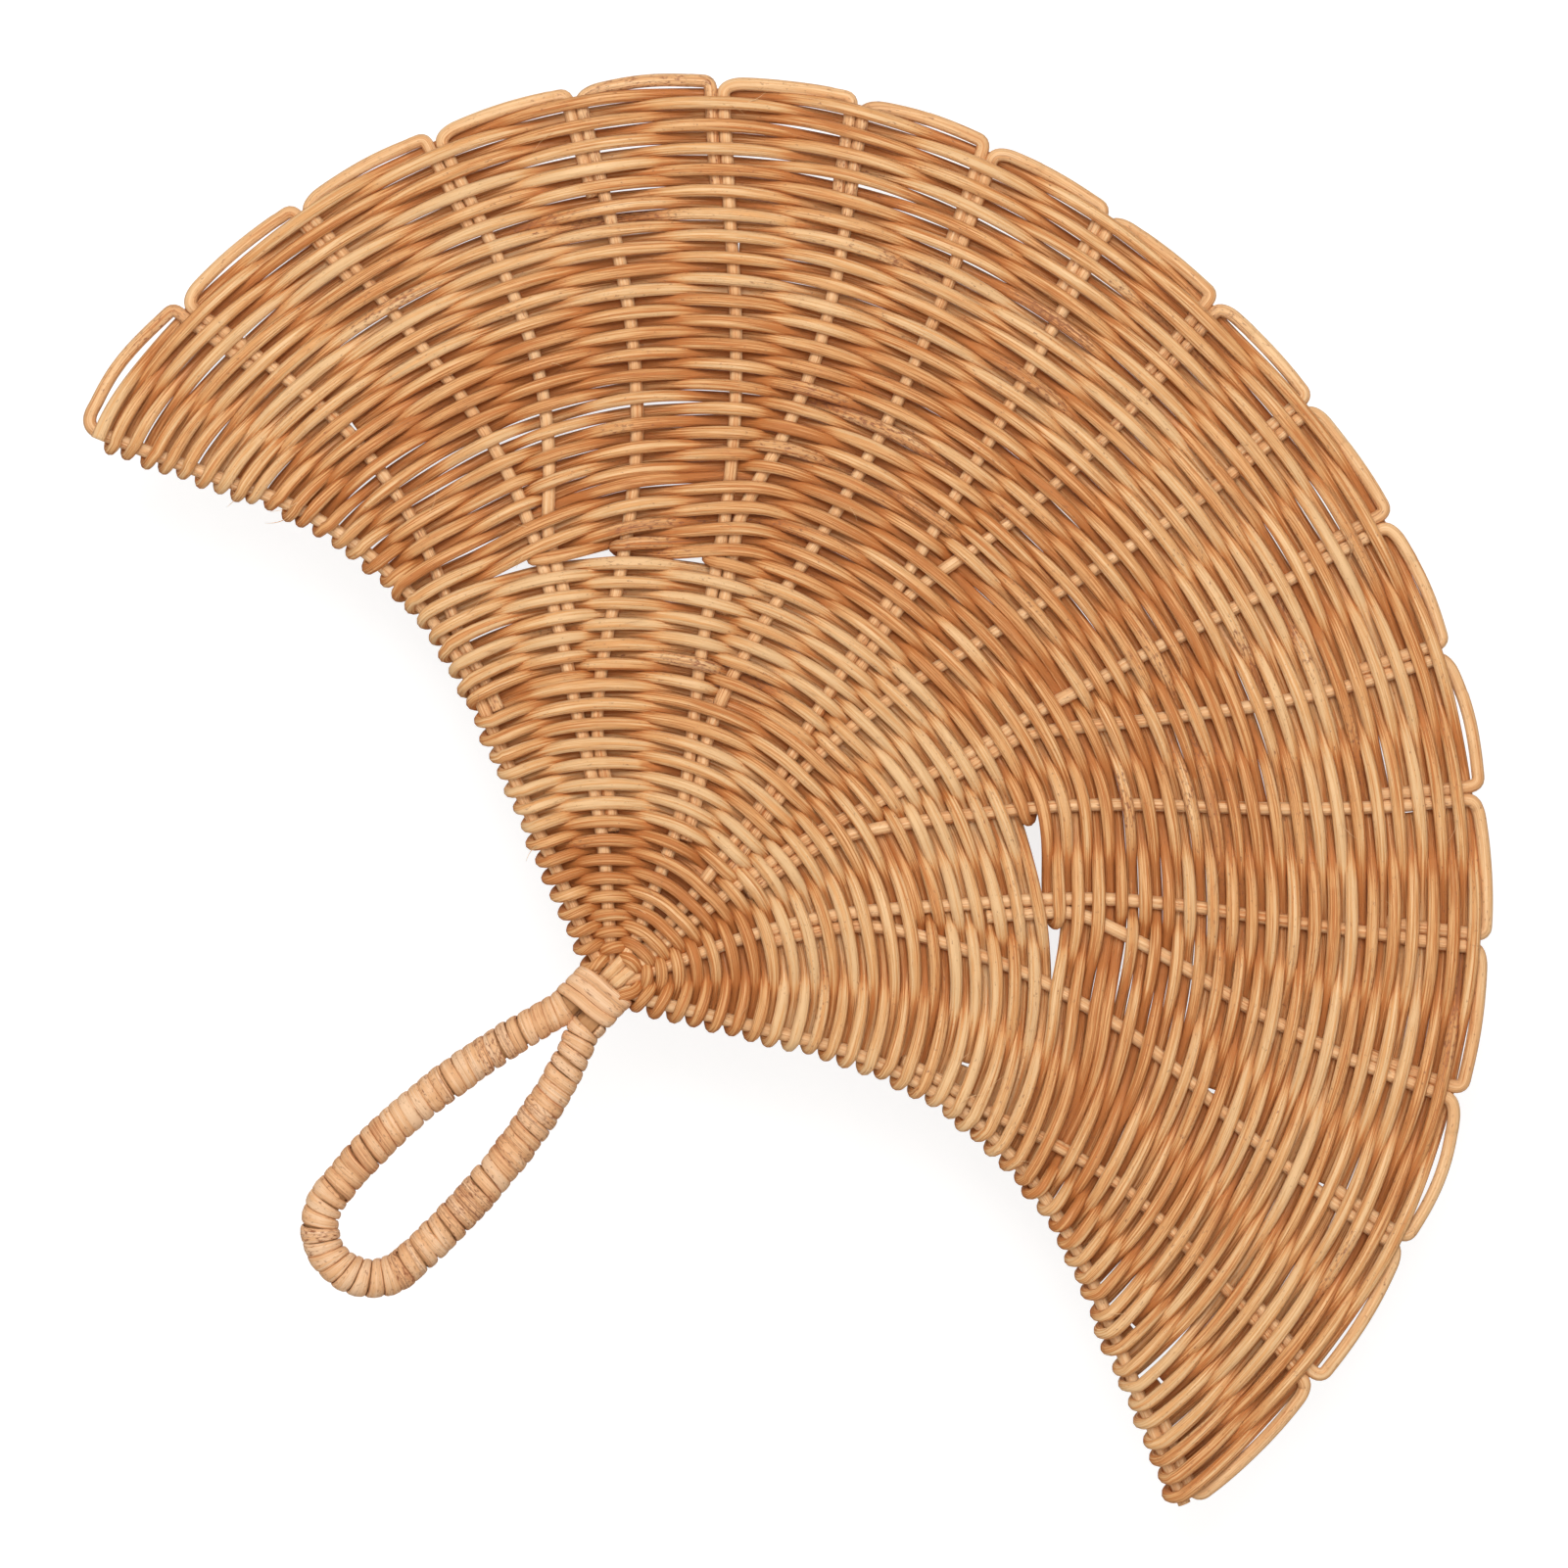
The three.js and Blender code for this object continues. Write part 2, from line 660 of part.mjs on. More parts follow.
// Cuts the long run into weavers of about one length. Each joint lies behind a stake.
function cutWeavers(rings) {
  const solid = rings.map((ring, i) => ({ ...ring, corners: ringCorners(ring, i, rings) }));
  const total = rings.slice(1).reduce((sum, ring, i) => sum + ringGap(rings[i], ring), 0);
  const count = Math.max(Math.round(total / weaverLength), 1);
  const weavers = [[]];
  let run = 0;
  solid.forEach((ring, i) => {
    if (i > 0) run += ringGap(rings[i - 1], rings[i]);
    const behind = ring.group && !ring.edge && ring.side > 0 && rings[i - 1].group !== ring.group;
    const due = weavers.length < count && run > (weavers.length * total) / count;
    const current = weavers[weavers.length - 1];
    if (!behind || !due) {
      current.push(ring.corners);
      return;
    }
    const next = rings[i + 1].group === ring.group ? solid[i + 1].corners : ring.corners;
    if (next !== ring.corners) current.push(ring.corners);
    const joint = ring.corners.map((corner, j) => corner.clone().lerp(next[j], 0.5));
    const step = ring.along.clone().multiplyScalar(clearance / 2);
    current.push(joint.map((corner) => corner.clone().sub(step)));
    weavers.push([joint.map((corner) => corner.clone().add(step))]);
  });
  return weavers;
}

// The innermost weavers are all pale. Further out pale and brown ones take turns.
const paleShare = 0.25;
const woundRings = workRows(passes);
woundRings.unshift(looseRing(woundRings[0], -1));
woundRings.push(looseRing(woundRings[woundRings.length - 1], 1));
const weavers = cutWeavers(woundRings);
weavers.forEach((rings, i) => {
  const name = 'weaver_' + String(i + 1).padStart(2, '0');
  const shade = i < weavers.length * paleShare ? colours.light : [colours.dark, colours.light][i % 2];
  addPiece(name, skin(rings), shade);
});

// Handle loop: two legs that leave the neck side by side, swell apart and meet in a round bend
const legGap = handleTopDiameter / 2 + clearance;
const coreTop = neckTop - neckLength / 2;
const neckFoot = neckTop - neckLength;
const bendCentre = -handleDrop + handleBendRadius;

// Centreline of one leg, with x counted outwards from the neck
function legCurve(leg) {
  return new THREE.CubicBezierCurve(
    new THREE.Vector2(legGap + clearance, neckFoot - legEntry),
    new THREE.Vector2(leg.shoulder, neckFoot - shoulderDrop),
    new THREE.Vector2(leg.belly, bendCentre + bellyRise),
    new THREE.Vector2(handleBendRadius, bendCentre),
  );
}

// Centreline of the whole loop, from the top of the left leg to the top of the right one
function handlePoints(legSteps, bendSteps) {
  const [leftPoints, rightPoints] = [leftLeg, rightLeg].map((leg) => legCurve(leg).getPoints(legSteps));
  const bend = Array.from({ length: bendSteps - 1 }, (_, i) => {
    const turn = (Math.PI * (i + 1)) / bendSteps;
    const [x, z] = [-handleBendRadius * Math.cos(turn), bendCentre - handleBendRadius * Math.sin(turn)];
    return new THREE.Vector2(x, z);
  });
  const loop = [...leftPoints.map((p) => new THREE.Vector2(-p.x, p.y)), ...bend, ...rightPoints.reverse()];
  return loop.map((p) => flat(p.x + neckShift, p.y));
}

function coreRadius(z) {
  const share = smoothstep(-z, -neckFoot, coreTaper - neckFoot);
  return lerp(handleTopDiameter, handleCoreDiameter, share) / 2;
}

const loopLine = handlePoints(7, 9);
const coreLine = [
  flat(neckShift - legGap, coreTop),
  flat(neckShift - legGap, neckFoot),
  ...loopLine,
  flat(neckShift + legGap, neckFoot),
  flat(neckShift + legGap, coreTop),
];
const coreRings = rodRings(coreLine, (i) => coreRadius(coreLine[i].z), coreSides);
addPiece('handle_core', skin(coreRings), colours.core);

// Arc-length frame of the handle's centreline, used by the cane that goes round it
const handleCurve = new THREE.CurvePath();
const finePoints = handlePoints(24, 24);
for (let i = 0; i + 1 < finePoints.length; i++) {
  handleCurve.add(new THREE.LineCurve3(finePoints[i], finePoints[i + 1]));
}
const loopLength = handleCurve.getLength();

function loopFrame(along) {
  const at = (s) => handleCurve.getPointAt(clamp(s / loopLength, 0, 1));
  const point = at(along);
  const heading = at(along + 2).sub(at(along - 2)).normalize();
  return { point, out: new THREE.Vector3(-heading.z, 0, heading.x) };
}

// Corner of a cane strip in the handle's own coordinates: along its centreline, round it and out
function canePoint(along, turn, radius) {
  const { point, out } = loopFrame(along);
  return point
    .clone()
    .addScaledVector(out, radius * Math.cos(turn))
    .add(new THREE.Vector3(0, radius * Math.sin(turn), 0));
}

const cornerSwell = 1 / Math.cos(Math.PI / turnSteps);

function caneRadii(z) {
  const inner = (coreRadius(z) + clearance) * cornerSwell;
  return [inner, inner + caneThickness];
}

// One strip wound round the handle from one place to another, in whole steps of its turns. A step
// is longer than the strip is wide, so both ends run straight for at least that width.
function windStrip(from, to, gap) {
  const pitch = caneWidth + gap;
  const steps = Math.floor(((to - from - caneWidth) / pitch) * turnSteps);
  const rings = [];
  for (let i = 0; i <= steps; i++) {
    const along = from + caneWidth / 2 + (i / turnSteps) * pitch;
    const turn = ((i + 0.5) / turnSteps) * 2 * Math.PI;
    const [inner, outer] = caneRadii(loopFrame(along).point.z);
    const [low, high] = [along - caneWidth / 2, along + caneWidth / 2];
    const corners = [[low, inner], [high, inner], [high, outer], [low, outer]];
    rings.push(corners.map(([place, radius]) => canePoint(place, turn, radius)));
  }
  return rings;
}

// Turns close up a little on the inside of the legs' curve, so they are set this much wider apart
const curveSpare = 1.12;

// Least gap between a winding's turns: each ring's corners against those one turn later
function leastGap(rings, stepsPerTurn) {
  let least = Infinity;
  for (let i = 0; i + stepsPerTurn < rings.length; i++) {
    for (const a of rings[i]) {
      for (const b of rings[i + stepsPerTurn]) least = Math.min(least, a.distanceTo(b));
    }
  }
  return least;
}

const bendFrom = legCurve(leftLeg).getLength();
const bendTo = loopLength - legCurve(rightLeg).getLength();
const outerRadius = caneRadii(bendCentre)[1];
const bendGap = caneGap / (1 - outerRadius / handleBendRadius);
const legGapWound = caneGap * curveSpare;
const stripRuns = [
  ['left_leg_cane', clearance, bendFrom - clearance / 2, legGapWound],
  ['bend_cane', bendFrom + clearance / 2, bendTo - clearance / 2, bendGap],
  ['right_leg_cane', bendTo + clearance / 2, loopLength - clearance, legGapWound],
];
for (const [name, from, to, gap] of stripRuns) {
  const rings = windStrip(from, to, gap);
  console.log(name + ': least gap between turns ' + leastGap(rings, turnSteps).toFixed(2) + ' mm');
  addPiece(name, skin(rings), colours.cane);
}

// Neck whipping: the same cane wound flat round the stake ends and the tops of the two legs
const rootsHalfWidth = ((mainStakes.length - 1) * sideBySide) / 4 + stakeRadius;
const neckHalfWidth = Math.max(rootsHalfWidth, legGap + handleTopDiameter / 2);
const neckHalfDepth = sideBySide / 2 + stakeRadius;

// Cut corners of the neck's section, and how much wider the cut gets as the section grows
const neckCorner = 1.2;
const cornerShare = 0.6;

function neckSection(grow) {
  const halfWidth = neckHalfWidth + clearance + grow;
  const halfDepth = neckHalfDepth + clearance + grow;
  const cut = neckCorner + cornerShare * grow;
  return [
    [halfWidth, -halfDepth + cut],
    [halfWidth, halfDepth - cut],
    [halfWidth - cut, halfDepth],
    [-halfWidth + cut, halfDepth],
    [-halfWidth, halfDepth - cut],
    [-halfWidth, -halfDepth + cut],
    [-halfWidth + cut, -halfDepth],
    [halfWidth - cut, -halfDepth],
  ];
}

function windNeck() {
  const [inner, outer] = [neckSection(0), neckSection(caneThickness)];
  const rings = [];
  for (let i = 0; i <= neckTurns * inner.length; i++) {
    const corner = i % inner.length;
    const low = neckFoot + (i / inner.length) * (caneWidth + caneGap);
    const high = low + caneWidth;
    const spots = [[inner, low], [inner, high], [outer, high], [outer, low]];
    rings.push(spots.map(([section, z]) => flat(neckShift + section[corner][0], z, section[corner][1])));
  }
  return rings;
}

const neckRings = windNeck();
console.log('neck_whipping: least gap between turns ' + leastGap(neckRings, 8).toFixed(2) + ' mm');
addPiece('neck_whipping', skin(neckRings), colours.cane);

fan.position.z = -nailHeight;

export default fan;
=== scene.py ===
"""Looks of the rattan wall fan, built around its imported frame.

Lengths are in millimetres about the mouth of the neck, and become metres in the frame when a mesh is
made. The front faces -Y. Every rod is a tube carried along a path that is worked out from the weave's
own rules: rows are round arches between the two lower edges, and each passes over one stake and
under the next.
"""

import itertools
import json
import math

import bpy
import numpy as np
from mathutils import Matrix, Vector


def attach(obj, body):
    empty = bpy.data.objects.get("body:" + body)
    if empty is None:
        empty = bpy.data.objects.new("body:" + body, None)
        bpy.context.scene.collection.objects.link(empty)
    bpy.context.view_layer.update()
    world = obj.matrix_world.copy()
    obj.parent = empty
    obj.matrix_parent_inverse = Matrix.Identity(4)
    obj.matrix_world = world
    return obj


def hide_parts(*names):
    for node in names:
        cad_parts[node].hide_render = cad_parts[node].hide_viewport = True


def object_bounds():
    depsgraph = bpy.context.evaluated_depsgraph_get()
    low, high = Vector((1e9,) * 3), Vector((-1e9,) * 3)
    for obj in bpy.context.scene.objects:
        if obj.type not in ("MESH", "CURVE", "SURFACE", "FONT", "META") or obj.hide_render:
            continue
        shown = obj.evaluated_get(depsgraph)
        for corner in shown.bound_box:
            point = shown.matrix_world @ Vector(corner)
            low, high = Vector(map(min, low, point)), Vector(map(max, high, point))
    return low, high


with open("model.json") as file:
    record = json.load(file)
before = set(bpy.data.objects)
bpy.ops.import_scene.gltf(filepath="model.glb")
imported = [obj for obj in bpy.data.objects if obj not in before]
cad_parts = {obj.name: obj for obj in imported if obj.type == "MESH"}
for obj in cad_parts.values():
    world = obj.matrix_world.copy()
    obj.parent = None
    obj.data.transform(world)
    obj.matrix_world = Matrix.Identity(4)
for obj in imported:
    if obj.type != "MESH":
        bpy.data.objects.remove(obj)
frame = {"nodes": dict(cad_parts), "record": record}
cad_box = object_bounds()

MM = 0.001
NAIL_HEIGHT = 190.0

# Rim and lower edges
RIM_RADIUS = 200.8
RIM_CENTRE_HEIGHT = 26.5
RIM_SWELL = 7.4
SWELL_BEARING = math.radians(-45.0)
SWELL_SPREAD = math.radians(55.0)
TIP_INSET = 1.2
FIRST_TIP_INSET = 2.4
EDGE_INSET = 2.0
SCALLOP_COUNT = 18
SCALLOP_INSET = 0.5
SCALLOP_STEP = 0.7
SCALLOP_LIFTS = (1.8, 0.6, 0.8, 0.5, 0.9, 0.4, 0.7, 0.5, 0.3, 0.4, 0.5, 0.8, 1.4, 0.5, 0.4, 2.0, 0.6, 0.7)
SCALLOP_ENTRY = 4.0
LAST_STAKE_END = 2.4
FIRST_ENTRY_FACTOR = 1.7
SCALLOP_END = 0.93
SCALLOP_FOLD = 2.2
TAIL_LENGTH = 23.0
EDGE_POWER = 24
RIM_LEAN = math.radians(2.45)
LEAN_BIAS = 4.0
EDGES = {
    -1: {"start": (5.4, -5.1), "rise": 22.0, "fall": 24.0, "crown": 44.0, "tip height": 2.5},
    1: {"start": (2.6, -6.1), "rise": 30.5, "fall": 23.3, "crown": 55.0, "tip height": 1.2},
}

# Rods and rows
ROD_RADIUS = 1.7
STAKE_RADIUS = 1.68
SQUEEZE = 0.10
CREST = 3.05
CREST_SHOULDER = 0.2
STAKE_PUSH = 0.6
ROD_STEP = 1.1
STAKE_STEP = 0.7
ROD_SIDES = 9
STAKE_SIDES = 12
INNER_ROWS = 42
OUTER_ROWS = 39
FIRST_ROW_REACH = 2.0
EDGE_TO_FIRST_ROW = 0.5
RIM_TO_LAST_ROW = 3.5
TIP_TO_LAST_ROW = {-1: 4.5, 1: 1.5}
TIGHT_SHARE = 0.04
TIGHT_REACH = 0.12
TIGHT_POWER = 0.7
FILL_REACH = 107.0
FILL_SPANS = [(6, 19), (6, 14), (5, 14), (5, 15), (3, 15), (3, 19)]
TURN_OPENING = 12.0
TURN_CLOSING = {-1: 1.0, 1: 0.25}
BRIDGE_SPREAD = 2.4
EVEN_SPREAD = 6.0
EVENING_ROWS = 14.0
LOOP_REACH = 0.96
LOOP_PLAY = 0.16
LOOP_FULLNESS = -0.9
LOOSE_END = 1.4

# Forks
MAIN_STAKES = [1, 3, 6, 9, 12, 15, 19]
NECK_BUNDLE = [6, 9, 12]
FIRST_FORK_REACH = 56.0
FIRST_FORK_SWING = 3.0
SECOND_FORK_REACH = 115.0
SECOND_FORK_SWING = 3.5
EDGE_FORK_REACH = 100.0
BYE_OVERLAP = 20.0
GATHER_STRENGTH = 0.5
GATHER_REACH = 60.0
SIDE_BY_SIDE = 3.2
CLOSEST_PASS = 6.4
ROOT_OUT = 0.03
ROOT_FOOT = 6.0
ROOT_PULL = 0.38

# Neck, handle and cane
NECK_SHIFT = -1.5
NECK_TOP = -5.5
NECK_TURNS = 3
HANDLE_DROP = 106.0
LEFT_LEG = {"shoulder": 9.6, "belly": 16.3}
RIGHT_LEG = {"shoulder": 12.2, "belly": 15.1}
SHOULDER_DROP = 20.0
BELLY_RISE = 27.0
HANDLE_BEND_RADIUS = 13.3
HANDLE_CORE_DIAMETER = 7.8
HANDLE_TOP_DIAMETER = 6.8
CORE_TAPER = 25.0
LEG_UNDER_NECK = 3.5
CANE_WIDTH = 2.8
CANE_THICKNESS = 0.8
CANE_GAP = 0.45
CANE_OVERLAP = 0.05
CANE_SEAT = 0.16
RUN_INSET = 0.3
RUN_BEFORE = 2.4
RUN_PAST = 3.2
CANE_TURN_STEPS = 40
NECK_TURN_STEPS = 60

STAKE_COUNT = SCALLOP_COUNT + 1
RIM_REACH = RIM_CENTRE_HEIGHT + RIM_RADIUS
LAST_ROW_REACH = RIM_REACH - RIM_TO_LAST_ROW
TAIL_START = LAST_ROW_REACH - TAIL_LENGTH
EDGE_BYES = (2, STAKE_COUNT - 1)
NEAR_EDGE = 0.98
DEPTH_WAY = np.array([0.0, 1.0, 0.0])
IN_PLANE = np.array([1.0, 0.0, 1.0])
WAVE_KNOTS = 4096
NET_KNOTS = 256
CROSSING_TRIES = 12


# Numbers and noise

def smoothstep(value, low, high):
    """Cubic ease from 0 at low to 1 at high: 3t^2 - 2t^3 of the clamped share t."""
    share = np.clip((value - low) / (high - low), 0.0, 1.0)
    return share * share * (3.0 - 2.0 * share)


def draws(seed, low, high, shape):
    """Even random numbers from a generator of their own."""
    return np.random.default_rng(seed).uniform(low, high, shape)


def wander(place, wave, seed):
    """Seeded wave from -1 to 1: random heights one wave apart along place, joined by a cubic ease."""
    knots = draws(seed, -1.0, 1.0, WAVE_KNOTS)
    cell = np.floor(place / wave).astype(int)
    share = smoothstep(place / wave - cell, 0.0, 1.0)
    return knots[cell % WAVE_KNOTS] * (1.0 - share) + knots[(cell + 1) % WAVE_KNOTS] * share


def drift(u, v, seed):
    """Seeded field from -1 to 1 over two coordinates: random knots on a square net, eased both ways."""
    knots = draws(seed, -1.0, 1.0, (NET_KNOTS, NET_KNOTS))
    column, row = np.floor(u).astype(int), np.floor(v).astype(int)
    x, z = smoothstep(u - column, 0.0, 1.0), smoothstep(v - row, 0.0, 1.0)
    sides = []
    for j in (row % NET_KNOTS, (row + 1) % NET_KNOTS):
        sides.append(knots[column % NET_KNOTS, j] * (1.0 - x) + knots[(column + 1) % NET_KNOTS, j] * x)
    return sides[0] * (1.0 - z) + sides[1] * z


def unit(vectors):
    """Each vector over its own length."""
    return vectors / np.maximum(np.linalg.norm(vectors, axis=-1, keepdims=True), 1e-9)


def bezier(corners, count):
    """Bezier curve of any order: corners blended again and again by the shares 1 - t and t."""
    t = np.linspace(0.0, 1.0, count)[:, None, None]
    points = np.broadcast_to(np.array(corners, float), (count,) + np.shape(corners))
    while points.shape[1] > 1:
        points = points[:, :-1] * (1.0 - t) + points[:, 1:] * t
    return points[:, 0]


def running_length(points):
    """Distance along a line of points, from 0 at its start."""
    return np.concatenate([[0.0], np.cumsum(np.linalg.norm(np.diff(points, axis=0), axis=1))])


def read_at(places, along, points):
    """Points of a line at given lengths along it."""
    return np.stack([np.interp(places, along, column) for column in points.T], axis=-1)


def respaced(points, step, *others):
    """The same line with its points one step apart, and any other columns read at the same places."""
    along = running_length(points)
    count = max(int(round(along[-1] / step)), 2) + 1
    places = np.linspace(0.0, along[-1], count)
    return [read_at(places, along, points)] + [np.interp(places, along, other) for other in others]


def softened(points, rounds):
    """The line with each inner point moved to the weighted mean 1-2-1 of itself and its neighbours."""
    points = points.copy()
    for _ in range(rounds):
        points[1:-1] = 0.25 * points[:-2] + 0.5 * points[1:-1] + 0.25 * points[2:]
    return points


def upright(flat, depth=0.0):
    """Places of the fan's plane, x and z, as points x, y, z at a depth y."""
    return np.stack([flat[..., 0], np.broadcast_to(depth, flat.shape[:-1]), flat[..., 1]], axis=-1)


def away(points):
    """Direction of each point from the neck in the fan's plane."""
    return unit(points * IN_PLANE)


# The fan's own plane

def swell(bearing):
    """How far the rim stands out of its circle at a bearing: one hump of (1 + cos) / 2."""
    turn = np.clip((bearing - SWELL_BEARING) / SWELL_SPREAD, -1.0, 1.0)
    return RIM_SWELL * (1.0 + np.cos(math.pi * turn)) / 2.0


def edge_line(side):
    """Lower edge of one wing, x counted outwards: a straight rise, a quadratic Bezier crown and a
    straight fall to the tip, from the first row on, in equal steps."""
    edge = EDGES[side]
    slopes = math.radians(edge["rise"]), -math.radians(edge["fall"])
    rise, fall = (np.array([math.cos(slope), math.sin(slope)]) for slope in slopes)
    start, height = np.array(edge["start"]), edge["tip height"]
    tip_radius = RIM_RADIUS - TIP_INSET - EDGE_INSET
    tip = np.array([math.sqrt(tip_radius ** 2 - (RIM_CENTRE_HEIGHT - height) ** 2), height])
    apex = start + rise * np.linalg.solve(np.column_stack([rise, fall]), tip - start)[0]
    crown = bezier([apex - rise * edge["crown"], apex, apex + fall * edge["crown"]], 60)
    line, = respaced(np.vstack([start, crown, tip]), 1.0)
    line = line[running_length(line) >= EDGE_TO_FIRST_ROW]
    return line, running_length(line)[-1]


EDGE_LINES = {side: edge_line(side) for side in (-1, 1)}


def axis_reach(out):
    """Distance from the neck, on the axis, at a share of the way from the first row to the last."""
    return FIRST_ROW_REACH + (LAST_ROW_REACH - FIRST_ROW_REACH) * out


def out_of(reach):
    """The share of the way out at a distance from the neck."""
    return (reach - FIRST_ROW_REACH) / (LAST_ROW_REACH - FIRST_ROW_REACH)


def rim_distance(angle):
    """Distance from the neck to the last row along a bearing: where that ray meets the swollen
    circle, c cos a + sqrt(R^2 - c^2 sin^2 a), with the swell read at the place found first."""
    centre, radius = RIM_CENTRE_HEIGHT, RIM_RADIUS - RIM_TO_LAST_ROW
    for _ in range(3):
        distance = centre * np.cos(angle) + np.sqrt(radius ** 2 - (centre * np.sin(angle)) ** 2)
        bearing = np.arctan2(distance * np.sin(angle), distance * np.cos(angle) - centre)
        radius = RIM_RADIUS - RIM_TO_LAST_ROW + swell(bearing)
    return distance


def arch(across, out):
    """Bearing and distance from the neck of a place on a row that is still a plain arch: it eases
    from the axis to its edge point by the cosine of the bearing, and stakes lean over a little with
    their distance from the neck."""
    tips = []
    for side in (-1, 1):
        line, length = EDGE_LINES[side]
        place = np.clip(out * (1.0 - TIP_TO_LAST_ROW[side] / length), 0.0, 1.0) * (len(line) - 1)
        tips.append(read_at(place, np.arange(len(line)), line))
    tip = np.where((across < 0.0)[..., None], *tips)
    x, z = tip[..., 0], tip[..., 1]
    edge_angle = np.arctan2(x, z)
    lean = RIM_LEAN * (1.0 - across ** 2) * (1.0 + LEAN_BIAS * across) * (axis_reach(out) / RIM_REACH)
    angle = across * edge_angle - lean
    share = (1.0 - np.cos(angle)) / (1.0 - np.cos(edge_angle))
    return angle, axis_reach(out) + (np.hypot(x, z) - axis_reach(out)) * share


def fan_point(across, out):
    """A place of the fan as x and z. across is -1 at the left edge and 1 at the right one. Rows are
    plain arches near the neck and take the rim's swollen shape with the cube of the way out, except
    close to the lower edges, where a high power of across holds it back."""
    across, out = np.broadcast_arrays(np.asarray(across, float), np.asarray(out, float))
    angle, reach = arch(across, out)
    last_angle, last_reach = arch(across, np.ones_like(out))
    swelling = (rim_distance(last_angle) - last_reach) * (1.0 - np.abs(across) ** EDGE_POWER)
    reach = reach + swelling * out ** 3
    return np.stack([reach * np.sin(angle), reach * np.cos(angle)], axis=-1)


def row_scale(across, out):
    """Millimetres of row for each unit of across, from two places close together."""
    step = 0.01
    moved = fan_point(across + step, out) - fan_point(across - step, out)
    return np.linalg.norm(moved, axis=-1) / (2 * step)


def rim_across(k):
    """Place of stake k at the rim, evenly spaced."""
    return 2.0 * (k - 1) / (STAKE_COUNT - 1) - 1.0


def fork_of(k):
    """The main stake that stake k leaves, how far out it leaves, and how quickly it swings away."""
    if k in MAIN_STAKES:
        return None
    if k in EDGE_BYES:
        return (1 if k == 2 else STAKE_COUNT, EDGE_FORK_REACH, FIRST_FORK_SWING)
    if k % 3 == 1:
        return (k - 1, SECOND_FORK_REACH, SECOND_FORK_SWING)
    return (k - 2, FIRST_FORK_REACH, FIRST_FORK_SWING)


def stake_start(k):
    """Distance from the neck at which stake k begins to be woven in."""
    fork = fork_of(k)
    return fork[1] - BYE_OVERLAP if fork else FIRST_ROW_REACH


def beside(across, out):
    """How far apart across the fan two rods are that lie side by side."""
    return SIDE_BY_SIDE / row_scale(np.clip(across, -NEAR_EDGE, NEAR_EDGE), out)


def stake_across(k, out):
    """Place of stake k across the fan. Mains gather towards the axis near the neck. A bye-stake
    lies beside its main and then swings away by the share 1 - (1 - t)^swing of the rest of its way."""
    reach, fork = axis_reach(out), fork_of(k)
    if fork is None:
        gather = 1.0 + GATHER_STRENGTH * np.exp(-((reach / GATHER_REACH) ** 3))
        return np.sign(rim_across(k)) * np.abs(rim_across(k)) ** gather
    parent, leaves, swing = fork
    main = stake_across(parent, out)
    gone = np.clip((reach - leaves) / (RIM_REACH - leaves), 0.0, 1.0)
    spread = (rim_across(k) - rim_across(parent)) * (1.0 - (1.0 - gone) ** swing)
    return main + np.sign(k - parent) * np.hypot(spread, beside(main, out))


def tail_across(k, out):
    """The tail of scallop k lies down the left side of stake k + 1."""
    main = stake_across(k + 1, out)
    return main - beside(main, out)


# Passes of the weavers

FULL_SPAN = (1, STAKE_COUNT)
SPANS = [FULL_SPAN] * INNER_ROWS + FILL_SPANS + [FULL_SPAN] * OUTER_ROWS
FULL_BEFORE = np.concatenate([[0], np.cumsum([span == FULL_SPAN for span in SPANS])])[:-1]
FULL_COUNT = INNER_ROWS + OUTER_ROWS


def fill_ends():
    """Where filling passes turn back short of an edge: which pass, the side, the place across, and
    the width of one opening there."""
    out = out_of(FILL_REACH)
    ends = []
    for row, span in enumerate(FILL_SPANS):
        for side, stake in zip((-1, 1), span):
            if stake not in FULL_SPAN:
                place = stake_across(stake, out)
                ends.append((row, side, place, TURN_OPENING / row_scale(place * NEAR_EDGE, out)))
    return ends


FILL_ENDS = fill_ends()


def fill_cover(across, spread):
    """For each filling pass, 1 where it runs and 0 beyond the stake it turns at, with a cubic ease
    that begins a side's closing before that stake and is spread widths long."""
    cover = np.ones((len(FILL_SPANS),) + across.shape)
    for row, side, place, width in FILL_ENDS:
        begin = side * place - TURN_CLOSING[side] * width
        cover[row] *= 1.0 - smoothstep(side * across, begin, begin + spread * width)
    return cover


def pass_out(index, across):
    """Share of the way out of a pass at one place: the passes worked before it there, over all that
    are worked there. The room for the filling ones is spread wide, and the rows after them go over
    to that even spacing, so that all run in smooth arcs. The innermost ones are set closer near the
    axis by an exponential ease."""
    index, across = np.broadcast_arrays(index, np.asarray(across, float))
    cover, even = fill_cover(across, BRIDGE_SPREAD), fill_cover(across, EVEN_SPREAD).sum(axis=0)
    earlier = np.arange(len(FILL_SPANS)).reshape((-1,) + (1,) * index.ndim) < (index - INNER_ROWS)
    after = INNER_ROWS + len(FILL_SPANS)
    stacked = (cover * earlier).sum(axis=0)
    stacked = stacked + (even - stacked) * smoothstep(index, after, after + EVENING_ROWS)
    share = (FULL_BEFORE[index] + stacked) / (FULL_COUNT - 1 + even)
    tight = TIGHT_SHARE * (1.0 - np.abs(across)) ** TIGHT_POWER
    return (share + tight * (np.exp(-share / TIGHT_REACH) - 1.0)) / (
        1.0 + tight * (math.exp(-1.0 / TIGHT_REACH) - 1.0))


def crossings(across_at, k):
    """Where every pass meets stake or tail k, whose place across depends on how far out it is: the
    place across, the distance from the neck and the point, after repeated tries."""
    index = np.arange(len(SPANS))
    across = np.zeros(len(SPANS))
    for _ in range(CROSSING_TRIES):
        across = np.clip(across_at(k, pass_out(index, across)), -1.0, 1.0)
    out = pass_out(index, across)
    return across, axis_reach(out), fan_point(across, out)


